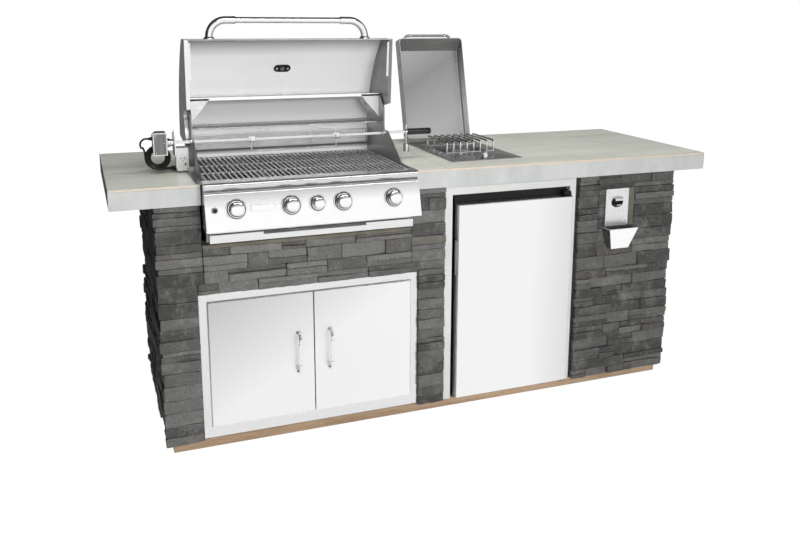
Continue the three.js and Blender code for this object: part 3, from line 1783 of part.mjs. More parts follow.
// Side burner: pan with its burner head, pot trivet, knob, and the lid that stands open on its rear hinge
const panSheet = 3;
const panBodyDepth = 92;
const wellHalf = 100;
const wellFront = -84;
const wellBack = 108;
const wellDrop = 32;
const headRadius = 44;
const headRise = 26;
const trivetBars = 8;
const trivetHalf = 107;
const trivetFront = -94;
const trivetBack = 117;
const trivetTop = 1055;
const trivetRod = 3.5;
const lidSheet = 3;
const lidHeight = 60;
const lidFront = -198;
const hingeAxisY = 258;
const hingeAxisZ = 1020;
const hingePin = 4;
const earWidth = 4;
const earHalf = 8;
const lidHandleHalf = 112;
const lidHandleReach = 20;
const lidHandleRadius = 6;
const sideKnobY = -232;
const sideKnobRadius = 17;
const sideKnobHeight = 24;
const sideBezel = 21;

const sideLeft = sideCentre - sideWidth / 2;
const sideRight = sideCentre + sideWidth / 2;
const panTop = counterTop + seat + panSheet;
const lidGroup = new THREE.Group();
lidGroup.position.set(sideCentre, hingeAxisY, hingeAxisZ);
lidGroup.rotation.x = -THREE.MathUtils.degToRad(sideLidAngle);
island.add(lidGroup);

function buildSideBurner() {
  const back = sideFront + sideDepth;
  const inset = sideCutLap + runningGap / 2;
  const deck = box(sideLeft, sideRight, sideFront, back, counterTop + seat, panTop);
  const body = box(
    sideLeft + inset,
    sideRight - inset,
    sideFront + inset,
    back - inset,
    panTop - panBodyDepth,
    panTop - seat,
  );
  const well = box(
    sideCentre - wellHalf,
    sideCentre + wellHalf,
    wellFront,
    wellBack,
    panTop - wellDrop,
    panTop + overrun,
  );
  const middle = (wellFront + wellBack) / 2;
  const head = turned(
    [
      [0, -overrun],
      [headRadius, -overrun],
      [headRadius, headRise * 0.45],
      [headRadius * 0.72, headRise * 0.6],
      [headRadius * 0.72, headRise * 0.85],
      [headRadius * 0.5, headRise],
      [0, headRise],
    ],
    20,
  ).translate(sideCentre, middle, panTop - wellDrop);
  const bezel = turned([[0, -seat], [sideBezel, -seat], [sideBezel * 0.85, sheet], [0, sheet]], 20).translate(
    sideCentre,
    sideKnobY,
    panTop,
  );
  const ear = (x) =>
    box(
      x,
      x + earWidth,
      hingeAxisY - earHalf,
      Math.min(hingeAxisY + earHalf, back),
      panTop - seat,
      hingeAxisZ + earHalf,
    );
  const pinLength = earWidth + 2 * seat + lidSheet;
  const pins = [
    ear(sideLeft),
    ear(sideRight - earWidth),
    cylinder(hingePin, pinLength, 12, "x").translate(sideLeft, hingeAxisY, hingeAxisZ),
    cylinder(hingePin, pinLength, 12, "x").translate(sideRight - pinLength, hingeAxisY, hingeAxisZ),
  ];
  add("side_burner_pan", join([cut(join([deck, body]), [well]), head, bezel, ...pins]), stainless);

  const floorY = hingeAxisY;
  const closedLow = panTop + 3 * seat - hingeAxisZ;
  const closedHigh = closedLow + lidHeight;
  const rear = back - floorY;
  const front = lidFront - floorY;
  const half = sideWidth / 2 - earWidth - 2 * seat;
  const outside = box(-half, half, front, rear, closedLow, closedHigh);
  const inside = box(
    -half + lidSheet,
    half - lidSheet,
    front + lidSheet,
    rear - lidSheet,
    closedLow - overrun,
    closedHigh - lidSheet,
  );
  const hole = (x) => cylinder(hingePin + seat, lidSheet * 3, 12, "x").translate(x - lidSheet, 0, 0);
  const reach = front - lidHandleReach;
  const handleZ = closedHigh - lidHandleReach;
  const grip = tubeThrough(
    bentLine(
      [
        [-lidHandleHalf, front + lidSheet / 2, handleZ],
        [-lidHandleHalf, reach, handleZ],
        [lidHandleHalf, reach, handleZ],
        [lidHandleHalf, front + lidSheet / 2, handleZ],
      ],
      lidHandleReach * 0.9,
      5,
    ),
    lidHandleRadius,
    8,
    alongZ,
  );
  const shell = cut(outside, [inside, hole(-half), hole(half - lidSheet)]);
  add("side_burner_lid", join([shell, grip]), stainless, lidGroup);

  const footZ = panTop + seat + trivetRod;
  const bars = [];
  for (let i = 0; i < trivetBars; i++) {
    const x = sideCentre - trivetHalf + (2 * trivetHalf * i) / (trivetBars - 1);
    const line = bentLine(
      [
        [x, trivetFront, footZ],
        [x, trivetFront, trivetTop - trivetRod],
        [x, trivetBack, trivetTop - trivetRod],
        [x, trivetBack, footZ],
      ],
      trivetRod * 3,
      1,
    );
    bars.push(tubeThrough(line, trivetRod, 6, alongX));
  }
  const feet = [trivetFront, trivetBack].map((y) =>
    straight(
      [sideCentre - trivetHalf - trivetRod, y, footZ],
      [sideCentre + trivetHalf + trivetRod, y, footZ],
      trivetRod * 0.96,
      6,
    ),
  );
  add("side_trivet", join([...bars, ...feet]), stainless);

  const r = sideKnobRadius;
  const h = sideKnobHeight;
  const profile = [
    [0, 0],
    [r, 0],
    [r, h * 0.35],
    [r * 0.82, h * 0.5],
    [r * 0.82, h * 0.88],
    [r * 0.66, h],
    [0, h],
  ];
  const knob = add(
    "side_knob",
    join([turned(profile, 14), box(-knobHub / 2, knobHub / 2, -r * 0.95, r * 0.9, h * 0.4, h + sheet)]),
    chrome,
  );
  knob.position.set(sideCentre, sideKnobY, panTop + sheet + seat);
}

buildBase();
buildStone();
buildCounter();
buildAccessDoor();
buildRefrigerator();
buildOpener();
buildFirebox();
buildRearHousing();
buildControlPanel();
buildGrillInside();
buildHood();
buildRotisserie();
buildCord();
buildSideBurner();

export default island;
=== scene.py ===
"""Looks of an outdoor kitchen island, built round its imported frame.

The file is laid out as an add-on: property groups hold the sizes and colours, an operator builds each piece
or group of like pieces, and main() calls them in order. Lengths are in metres.
"""

import math

import bmesh
import bpy
import numpy as np
from bpy.props import FloatProperty, FloatVectorProperty, IntProperty, PointerProperty
from bpy.types import Operator, Panel, PropertyGroup
from mathutils import Matrix, Vector, noise


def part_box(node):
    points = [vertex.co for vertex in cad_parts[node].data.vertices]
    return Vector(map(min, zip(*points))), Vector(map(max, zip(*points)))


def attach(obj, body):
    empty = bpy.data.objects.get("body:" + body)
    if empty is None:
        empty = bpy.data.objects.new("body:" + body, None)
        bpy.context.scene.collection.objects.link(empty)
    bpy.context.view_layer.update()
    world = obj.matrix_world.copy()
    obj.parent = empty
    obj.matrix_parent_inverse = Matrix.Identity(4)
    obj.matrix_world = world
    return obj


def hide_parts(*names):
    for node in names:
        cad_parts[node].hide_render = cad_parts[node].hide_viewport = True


bl_info = {
    "name": "Outdoor kitchen island",
    "version": (1, 0, 0),
    "blender": (4, 5, 0),
    "location": "View3D > Sidebar > Island",
    "description": "Builds the pieces and finishes of an outdoor kitchen island round its packed frame",
    "category": "Object",
}

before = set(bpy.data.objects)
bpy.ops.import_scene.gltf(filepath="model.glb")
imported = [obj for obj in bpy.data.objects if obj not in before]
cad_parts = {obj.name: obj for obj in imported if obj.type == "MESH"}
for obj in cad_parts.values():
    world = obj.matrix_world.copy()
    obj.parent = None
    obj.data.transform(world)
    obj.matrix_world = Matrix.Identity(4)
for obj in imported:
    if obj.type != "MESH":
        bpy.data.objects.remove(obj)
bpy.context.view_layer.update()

# Places that pieces share with the frame or with each other
BASE_LOW, BASE_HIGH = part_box("base_deck")
COUNTER_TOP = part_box("counter_tile_rear")[1].z
FASCIA_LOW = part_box("fascia_left")[0].z
GRILL_X = -0.524
HOOD_PIVOT = Vector((GRILL_X, -0.035, 1.112))
SPIT_Y, SPIT_Z = -0.118, 1.108
BUSH_RADIUS = 0.0145
HOOD_LIP, HOOD_BEND, HOOD_END = (-0.412, 1.022), (-0.404, 1.112), (-0.01, 1.275)
SIDE_X = 0.241
SIDE_KNOB_Y = -0.232
LID_PIVOT = Vector((SIDE_X, 0.258, 1.02))
OPENER_X, OPENER_HALF, OPENER_LOW, OPENER_TOP = 0.796, 0.056, 0.694, 0.864

# Degrees at which the hood and the side lid stand open
HOOD_OPEN, LID_OPEN = 85, 105

# Gap that keeps a piece off the surface it stands on
SEAT = 0.0003

# Finishes that belong to each slot of the record
FINISHES = {
    "ledgestone": ["ledgestone"],
    "board": ["mortar", "sill_mortar", "cement_board"],
    "tile": ["counter_tile"],
    "fascia": ["fascia_tile"],
    "deck_tan": ["deck_wood"],
    "stainless": ["stainless", "stainless_upright", "hood_steel", "outer_steel", "cap_steel", "rim_steel"],
    "door_skin": ["door_steel", "fridge_steel", "bucket_steel", "bucket_shade", "opener_steel"],
    "polished": ["chrome", "rack_steel"],
    "brushed_sheet": ["dull_steel", "motor_paint"],
    "cast_iron": ["grate_steel"],
    "trim": ["trim_paint", "dial_white"],
    "fridge_black": ["black_shell"],
    "black_rubber": ["black_rubber"],
    "black_plastic": ["grip_plastic"],
    "ceramic": ["burner_ceramic"],
    "shelf_glass": ["shelf_glass", "lens_glass"],
}
FINISHES["stainless"] += ["housing_steel", "gusset_steel", "panel_steel", "pan_steel"]
FINISHES["stainless"] += ["lid_steel", "wall_steel", "brow_steel"]


# Sizes and colours that a user would change


def length(name, value, description):
    limits = {"min": 0.0, "precision": 4}
    return FloatProperty(name=name, description=description, default=value, unit="LENGTH", **limits)


def power(name, value):
    return FloatProperty(name=name, description="Power of the " + name.lower(), default=value, unit="POWER")


def colour(name, value, description):
    kind = {"size": 3, "min": 0.0, "max": 1.0, "subtype": "COLOR"}
    return FloatVectorProperty(name=name, description=description, default=value, **kind)


class IslandColours(PropertyGroup):
    """Colours of the island's finishes, and the tones of the painted shade on its steel."""

    stone_dark: colour("Dark stone", (0.052, 0.051, 0.049), "Darkest of the ledgestones")
    stone_light: colour("Light stone", (0.155, 0.153, 0.147), "Lightest of the ledgestones")
    # The pale tone also paints the highlight along the stones' edges.
    stone_pale: colour("Stone crystals", (0.27, 0.268, 0.258), "Pale veins and bruises in the stone")
    stone_warm: colour("Stone rust", (0.125, 0.112, 0.085), "Olive brown stains in the stone")
    tile_dark: colour("Tile shade", (0.5, 0.502, 0.445), "Darker clouds of the counter tile")
    tile_light: colour("Tile", (0.6, 0.602, 0.54), "Main tone of the counter tile")
    tile_body: colour("Tile body", (0.6, 0.48, 0.38), "Unglazed edge of the counter tile")
    fascia_dark: colour("Fascia shade", (0.437, 0.447, 0.437), "Darker streaks of the fascia")
    fascia_light: colour("Fascia", (0.53, 0.54, 0.534), "Main tone of the fascia")
    steel: colour("Stainless steel", (0.78, 0.78, 0.78), "Brushed stainless steel")
    hood_steel: colour("Hood steel", (0.95, 0.95, 0.95), "Brushed steel of the hood and the housing")
    # Painted shade along the open hood's top edge.
    hood_painted_shade: colour("Hood shade", (0.3, 0.3, 0.3), "Darker edge of the open hood")
    cap_steel: colour("Cap steel", (0.82, 0.82, 0.82), "Brushed steel of the hood's end caps")
    lid_steel: colour("Lid steel", (0.47, 0.47, 0.47), "Brushed steel of the side burner's lid")
    # Painted reflection: the darker band across the side burner's lid, also the darker edge of its pan.
    lid_painted_shade: colour("Lid shade", (0.27, 0.27, 0.27), "Darker band across the side burner's lid")
    pan_steel: colour("Pan steel", (0.6, 0.6, 0.6), "Steel of the side burner's pan")
    door_steel: colour("Door steel", (0.94, 0.94, 0.94), "Pale sheet of the doors")
    # Painted reflection: the darker corner of the access doors.
    door_painted_shade: colour("Door shade", (0.62, 0.62, 0.62), "Darker corner of the access doors")
    panel_steel: colour("Panel steel", (0.87, 0.87, 0.87), "Brushed steel of the control panel")
    # Painted shade along the top of the control panel's face.
    panel_painted_shade: colour("Panel shade", (0.5, 0.5, 0.5), "Darker top of the control panel")
    chrome: colour("Chrome", (0.88, 0.885, 0.89), "Polished bars and knobs")


class IslandStoneSizes(PropertyGroup):
    """Sizes of the ledgestone."""

    depth: length("Depth", 0.026, "How far a stone stands out of its bed")
    relief: length("Relief", 0.005, "How much one stone stands out more or less than the next")
    joint: length("Joint", 0.0008, "Half of the dark joint between two stones")
    edge: length("Edge", 0.003, "Radius of a stone's worn edges")
    grid: length("Grid", 0.0125, "Size of the faces on a stone")
    grain: length("Grain", 0.0024, "Height of the split surface's roughness")


class IslandGrillSizes(PropertyGroup):
    """Sizes of the grill's rods and knobs."""

    grate_rod: length("Grate rod", 0.0082, "Diameter of a cooking grate rod")
    grate_pitch: length("Grate pitch", 0.0187, "Distance from rod to rod in the cooking grate")
    rack_rod: length("Rack rod", 0.0044, "Diameter of a warming rack rod")
    rack_pitch: length("Rack pitch", 0.0136, "Distance from rod to rod in the warming rack")
    knob_radius: length("Knob radius", 0.024, "Radius of a burner knob")
    round_sides: IntProperty(name="Round sides", description="Faces round a turned piece", default=48, min=16)


class IslandEdges(PropertyGroup):
    """Softness of the edges."""

    sheet: length("Sheet edges", 0.0009, "Radius of folded sheet edges")
    tile: length("Tile edges", 0.0012, "Radius of the tiles' edges")
    board: length("Board edges", 0.0015, "Radius of boards and castings")


class IslandLight(PropertyGroup):
    """Studio floor, light and background."""

    floor_reach: length("Floor reach", 30.0, "Half the width of the floor")
    key_power: power("Key light", 178.0)
    top_power: power("Top light", 34.0)
    left_power: power("Left light", 9.0)
    back_power: power("Back light", 110.0)
    right_power: power("Right light", 70.0)
    strip_power: power("Strip light", 20.0)
    sky: FloatProperty(name="Sky", description="Strength of the light from all round", default=0.2, min=0.0)


GROUP_CLASSES = {
    "island_colours": IslandColours,
    "island_stone": IslandStoneSizes,
    "island_grill": IslandGrillSizes,
    "island_edges": IslandEdges,
    "island_light": IslandLight,
}


# Shader node helpers


class Graph:
    """Adds nodes to a tree, with a socket joined where one is given and a plain value set where not."""

    def __init__(self, tree):
        self.tree = tree

    def feed(self, node, inputs):
        for key, value in inputs.items():
            if isinstance(value, bpy.types.NodeSocket):
                self.tree.links.new(value, node.inputs[key])
            else:
                node.inputs[key].default_value = value
        return node

    def add(self, kind, inputs=None, **settings):
        node = self.tree.nodes.new(kind)
        for key, value in settings.items():
            setattr(node, key, value)
        return self.feed(node, inputs or {})

    def math(self, operation, first, second=0.0):
        return self.add("ShaderNodeMath", {0: first, 1: second}, operation=operation).outputs[0]

    def mix(self, factor, first, second, blend="MIX"):
        inputs = {0: factor, 6: first, 7: second}
        return self.add("ShaderNodeMix", inputs, data_type="RGBA", blend_type=blend).outputs[2]

    def mix_values(self, factor, first, second):
        return self.add("ShaderNodeMix", {0: factor, 2: first, 3: second}, data_type="FLOAT").outputs[0]

    def spread(self, value, low, high, start=0.0, end=1.0):
        """A value from start to end turned into one from low to high, and no further."""
        inputs = {"Value": value, "From Min": start, "From Max": end, "To Min": low, "To Max": high}
        return self.add("ShaderNodeMapRange", inputs).outputs["Result"]

    def noise(self, vector, scale, detail=3.0, roughness=0.55):
        inputs = {"Vector": vector, "Scale": scale, "Detail": detail, "Roughness": roughness}
        return self.add("ShaderNodeTexNoise", inputs).outputs["Fac"]

    def place(self):
        return self.add("ShaderNodeTexCoord").outputs["Object"]

    def between(self, operation, first, second, output="Vector"):
        """Vector arithmetic; the answer is a vector, or a number if output is Value."""
        return self.add("ShaderNodeVectorMath", {0: first, 1: second}, operation=operation).outputs[output]

    def stretched(self, vector, scale):
        return self.between("MULTIPLY", vector, scale)

    def part(self, vector, axis):
        return self.add("ShaderNodeSeparateXYZ", {0: vector}).outputs[axis]

    def rays(self):
        """Whether a ray comes from the camera, and whether it comes by a mirror or through glass."""
        path = self.add("ShaderNodeLightPath").outputs
        return path["Is Camera Ray"], self.math("MAXIMUM", path["Is Glossy Ray"], path["Is Transmission Ray"])


def new_group(name, inputs, outputs):
    """A shader node group with its sockets, and the graph, inputs and outputs to build it with."""
    tree = bpy.data.node_groups.new(name, "ShaderNodeTree")
    for label, kind, value in inputs:
        tree.interface.new_socket(label, in_out="INPUT", socket_type=kind).default_value = value
    for label, kind in outputs:
        tree.interface.new_socket(label, in_out="OUTPUT", socket_type=kind)
    given = tree.nodes.new("NodeGroupInput").outputs
    out = tree.nodes.new("NodeGroupOutput").inputs
    return tree, Graph(tree), given, out


def grain_group():
    """Fine brush lines and slight waves in sheet metal: a roughness mask and a normal."""
    inputs = [
        ("Stretch", "NodeSocketVector", (4.0, 260.0, 260.0)),
        ("Lines", "NodeSocketFloat", 0.1),
        ("Waves", "NodeSocketFloat", 0.05),
        ("Smudge Scale", "NodeSocketFloat", 5.0),
    ]
    outputs = [("Mask", "NodeSocketFloat"), ("Normal", "NodeSocketVector")]
    tree, g, given, out = new_group("Brushed grain", inputs, outputs)
    place = g.place()
    lines = g.noise(g.stretched(place, given["Stretch"]), 1.0, 2.0, 0.6)
    smudges = g.noise(place, given["Smudge Scale"], 1.0)
    waves = g.noise(place, 2.3, 1.0, 0.4)
    mask = g.math("ADD", g.math("MULTIPLY", lines, 0.12), g.math("MULTIPLY", smudges, 0.88))
    wavy = g.add("ShaderNodeBump", {"Strength": given["Waves"], "Distance": 0.05, "Height": waves})
    fine = {"Strength": given["Lines"], "Distance": 0.0004, "Height": lines, "Normal": wavy.outputs["Normal"]}
    g.tree.links.new(mask, out["Mask"])
    g.tree.links.new(g.add("ShaderNodeBump", fine).outputs["Normal"], out["Normal"])
    return tree


def mottle_group():
    """Two tones in soft clouds, with finer specks over them."""
    inputs = [
        ("Dark", "NodeSocketColor", (0.4, 0.4, 0.4, 1.0)),
        ("Light", "NodeSocketColor", (0.6, 0.6, 0.6, 1.0)),
        ("Stretch", "NodeSocketVector", (1.0, 1.0, 1.0)),
        ("Cloud Scale", "NodeSocketFloat", 6.0),
        ("Speck Scale", "NodeSocketFloat", 90.0),
        ("Specks", "NodeSocketFloat", 0.25),
    ]
    outputs = [("Color", "NodeSocketColor"), ("Mask", "NodeSocketFloat")]
    tree, g, given, out = new_group("Mottle", inputs, outputs)
    place = g.stretched(g.place(), given["Stretch"])
    clouds = g.noise(place, given["Cloud Scale"], 4.0, 0.6)
    specks = g.noise(place, given["Speck Scale"], 3.0, 0.7)
    offset = g.math("MULTIPLY", g.math("SUBTRACT", specks, 0.5), given["Specks"])
    mask = g.spread(g.math("ADD", clouds, offset), 0.0, 1.0, 0.3, 0.7)
    g.tree.links.new(g.mix(mask, given["Dark"], given["Light"]), out["Color"])
    g.tree.links.new(mask, out["Mask"])
    return tree


def grit_group():
    """A rough surface, as a normal."""
    inputs = [
        ("Scale", "NodeSocketFloat", 60.0),
        ("Strength", "NodeSocketFloat", 0.4),
        ("Depth", "NodeSocketFloat", 0.002),
    ]
    tree, g, given, out = new_group("Grit", inputs, [("Normal", "NodeSocketVector")])
    height = g.noise(g.place(), given["Scale"], 6.0, 0.62)
    bump = {"Strength": given["Strength"], "Distance": given["Depth"], "Height": height}
    g.tree.links.new(g.add("ShaderNodeBump", bump).outputs["Normal"], out["Normal"])
    return tree


def painted_sheen_group():
    """Painted sheen and shade: a soft change from one tone at a line to another away from it on both sides.
    """
    inputs = [
        ("Near", "NodeSocketColor", (0.5, 0.5, 0.5, 1.0)),
        ("Far", "NodeSocketColor", (0.9, 0.9, 0.9, 1.0)),
        ("Corner", "NodeSocketVector", (0.0, 0.0, 0.0)),
        ("Share", "NodeSocketVector", (1.0, 0.0, -1.0)),
    ]
    tree, g, given, out = new_group("Sheen", inputs, [("Color", "NodeSocketColor")])
    away = g.between("SUBTRACT", g.place(), given["Corner"])
    share = g.math("ABSOLUTE", g.between("DOT_PRODUCT", away, given["Share"], "Value"))
    g.tree.links.new(g.mix(g.spread(share, 0.0, 1.0), given["Near"], given["Far"]), out["Color"])
    return tree


GROUP_MAKERS = {
    "Brushed grain": grain_group,
    "Mottle": mottle_group,
    "Grit": grit_group,
    "Sheen": painted_sheen_group,
}


def use_group(graph, name, inputs):
    tree = bpy.data.node_groups.get(name) or GROUP_MAKERS[name]()
    return graph.feed(graph.add("ShaderNodeGroup", node_tree=tree), inputs)


# Materials


def finish_of(name):
    """A finish by its short name; the frame's own materials have that name without the prefix."""
    return bpy.data.materials["island_" + name]


def blank(name, roughness=0.5, metallic=0.0, base=(0.5, 0.5, 0.5)):
    made = bpy.data.materials.new("island_" + name)
    made.use_nodes = True
    shader = made.node_tree.nodes["Principled BSDF"]
    shader.inputs["Roughness"].default_value = roughness
    shader.inputs["Metallic"].default_value = metallic
    shader.inputs["Base Color"].default_value = (*base, 1.0)
    return Graph(made.node_tree), shader


def brushed(name, base, stretch, roughness, lines, waves, smudges, metallic):
    """Brushed sheet metal; stretch is smallest along the brush lines."""
    g, shader = blank(name, metallic=metallic, base=base)
    inputs = {"Stretch": stretch, "Lines": lines, "Waves": waves, "Smudge Scale": smudges}
    grain = use_group(g, "Brushed grain", inputs)
    rough = g.spread(grain.outputs["Mask"], *roughness, 0.15, 0.85)
    g.feed(shader, {"Roughness": rough, "Normal": grain.outputs["Normal"]})
    return g, shader


def with_painted_sheen(finish, near, far, corner, share):
    """A finish with painted sheen and shade, its tone changing softly away from a corner; far is a tone, or a
    socket that gives one.
    """
    g, shader = finish
    far = far if isinstance(far, bpy.types.NodeSocket) else (*far, 1.0)
    inputs = {"Near": (*near, 1.0), "Far": far, "Corner": corner, "Share": share}
    tone = use_group(g, "Sheen", inputs).outputs["Color"]
    g.feed(shader, {"Base Color": tone})
    return tone


def mottled(name, dark, light, scales, roughness, grit, share=0.25, metallic=0.0, stretch=(1.0, 1.0, 1.0)):
    """A mineral, painted or moulded surface of two near tones, with its grit."""
    g, shader = blank(name, metallic=metallic)
    inputs = {"Dark": (*dark, 1.0), "Light": (*light, 1.0), "Stretch": stretch, "Specks": share}
    tones = use_group(g, "Mottle", {**inputs, "Cloud Scale": scales[0], "Speck Scale": scales[1]})
    rough = use_group(g, "Grit", {"Scale": grit[0], "Strength": grit[1], "Depth": grit[2]})
    outputs = {"Base Color": tones.outputs["Color"], "Normal": rough.outputs["Normal"]}
    g.feed(shader, {**outputs, "Roughness": g.spread(tones.outputs["Mask"], *roughness)})
    return g, shader, tones


def ledgestone_material(c):
    """Split stone: each stone's own tone from its mesh, with bruises, stains, veins, cracks and specks, and
    pale worn edges that are partly a painted highlight.
    """
    g, shader = blank("ledgestone", roughness=0.86)
    place = g.place()
    tones = (c.stone_dark, c.stone_light, c.stone_pale, c.stone_warm)
    dark, light, pale, warm = [(*tone, 1.0) for tone in tones]

    def mark(name):
        """What the mesh says of a stone."""
        return g.add("ShaderNodeAttribute", attribute_name="stone_" + name).outputs["Fac"]

    def lined(under, value, middle, width, colour, strength):
        """Thin wandering lines, where a value crosses its middle."""
        away = g.math("ABSOLUTE", g.math("SUBTRACT", value, middle))
        return g.mix(g.spread(away, strength, 0.0, 0.0, width), under, colour)

    tone = g.mix(mark("tone"), dark, light)
    bruises = g.noise(place, 17.0, 6.0, 0.68)
    tone = g.mix(g.spread(bruises, 0.0, 0.5, 0.5, 0.78), tone, pale)
    stains = g.math("ADD", g.noise(place, 6.0, 4.0, 0.65), mark("warmth"))
    tone = g.mix(g.spread(stains, 0.0, 0.6, 0.62, 0.95), tone, warm)
    patchiness = g.spread(g.noise(place, 40.0, 4.0, 0.7), 0.0, 1.0, 0.35, 0.65)
    # Pale along the stones' top and side edges, in patches: wear and a painted highlight.
    tone = g.mix(g.math("MULTIPLY", g.math("MULTIPLY", mark("wear"), patchiness), 0.55), tone, pale)
    tone = lined(tone, g.noise(place, 8.0, 5.0, 0.6), 0.5, 0.007, pale, 0.4)
    cracks = g.noise(g.stretched(place, (0.7, 0.7, 1.6)), 9.0, 6.0, 0.7)
    tone = lined(tone, cracks, 0.47, 0.008, dark, 0.5)
    specks = g.spread(g.noise(place, 210.0, 4.0, 0.7), 0.66, 1.34, 0.3, 0.7)
    grey_specks = g.add("ShaderNodeCombineColor", {0: specks, 1: specks, 2: specks}).outputs[0]
    rough = {"Strength": 0.8, "Distance": 0.005, "Height": g.noise(place, 48.0, 9.0, 0.7)}
    bump = g.add("ShaderNodeBump", rough).outputs["Normal"]
    g.feed(shader, {"Base Color": g.mix(1.0, tone, grey_specks, "MULTIPLY"), "Normal": bump})


def counter_tile_material(c):
    """Glazed tile with faint streaks along it, pale grout in its joints and its bare body on its edges."""
    streaks, scales, grit, roughness = (0.35, 1.6, 1.0), (5.0, 60.0), (45.0, 0.05, 0.001), (0.3, 0.46)
    grout, pale_body = (0.66, 0.66, 0.58, 1.0), (0.62, 0.55, 0.46, 1.0)
    joint_depth, steep = 0.0007, 0.35
    glaze = (c.tile_dark, c.tile_light, scales, roughness, grit, 0.3, 0.0, streaks)
    g, shader, tones = mottled("counter_tile", *glaze)
    joint = g.math("LESS_THAN", g.part(g.place(), "Z"), COUNTER_TOP - joint_depth)
    upward = g.part(g.add("ShaderNodeNewGeometry").outputs["True Normal"], "Z")
    edge = g.math("LESS_THAN", g.math("ABSOLUTE", upward), steep)
    grouted = g.mix(joint, tones.outputs["Color"], grout)
    biscuit = g.noise(g.stretched(g.place(), (9.0, 9.0, 60.0)), 1.0, 4.0)
    body = g.mix(g.spread(biscuit, 0.0, 1.0, 0.35, 0.65), (*c.tile_body, 1.0), pale_body)
    g.feed(shader, {"Base Color": g.mix(edge, grouted, body)})


def glass_material(name, roughness):
    g, shader = blank(name, roughness, 0.0, (0.86, 0.93, 0.92))
    shader.inputs["Transmission Weight"].default_value = 0.85
    shader.inputs["IOR"].default_value = 1.48
    ripple = use_group(g, "Grit", {"Scale": 6.0, "Strength": 0.03, "Depth": 0.001})
    g.feed(shader, {"Normal": ripple.outputs["Normal"]})


# Stretch of the brush lines in sheet and on bars, and grit of smooth and of sandy surfaces
ALONG, UPRIGHT, ROUND = (2.5, 320.0, 320.0), (320.0, 320.0, 2.5), (8.0, 90.0, 90.0)
SMOOTH, SANDY = (300.0, 0.15, 0.0004), (90.0, 0.5, 0.002)


def grey(tone):
    return (tone, tone, tone)


def mottled_finishes(c):
    """Dark and light tone, cloud and speck scale, roughness, grit; then specks, metallic and stretch."""
    black = (grey(0.008), grey(0.017))
    fascia = (c.fascia_dark, c.fascia_light)
    deck = ((0.27, 0.18, 0.11), (0.47, 0.34, 0.23))
    board = ((0.36, 0.36, 0.34), (0.5, 0.5, 0.47))
    trim = ((0.57, 0.58, 0.565), (0.67, 0.68, 0.665))
    motor = ((0.17, 0.174, 0.178), (0.26, 0.264, 0.268))
    ceramic = ((0.62, 0.62, 0.61), (0.78, 0.78, 0.76))
    return {
        "sill_mortar": ((0.1, 0.094, 0.072), (0.17, 0.16, 0.125), (20.0, 120.0), (0.85, 0.95), SANDY),
        "mortar": ((0.02, 0.021, 0.02), (0.05, 0.05, 0.046), (20.0, 120.0), (0.85, 0.95), SANDY),
        "fascia_tile": (*fascia, (9.0, 90.0), (0.38, 0.55), (60.0, 0.08, 0.001), 0.35, 0.0, (1.5, 1.5, 0.45)),
        "cement_board": (*board, (8.0, 90.0), (0.8, 0.95), (90.0, 0.4, 0.002)),
        "deck_wood": (*deck, (7.0, 60.0), (0.6, 0.85), (50.0, 0.3, 0.002), 0.5, 0.0, (0.3, 1.0, 3.0)),
        "trim_paint": (*trim, (4.0, 160.0), (0.3, 0.42), (200.0, 0.05, 0.0005)),
        "motor_paint": (*motor, (14.0, 300.0), (0.3, 0.42), SMOOTH, 0.3, 0.8, (6.0, 1.0, 0.2)),
        "black_shell": (*black, (12.0, 260.0), (0.35, 0.5), SMOOTH),
        "black_rubber": (*black, (30.0, 300.0), (0.42, 0.6), SMOOTH),
        "grip_plastic": (*black, (30.0, 300.0), (0.1, 0.2), SMOOTH),
        "burner_ceramic": (*ceramic, (30.0, 400.0), (0.6, 0.8), (420.0, 0.9, 0.002)),
        "dial_white": ((0.74, 0.74, 0.72), (0.82, 0.82, 0.8), (30.0, 200.0), (0.25, 0.35), SMOOTH),
    }


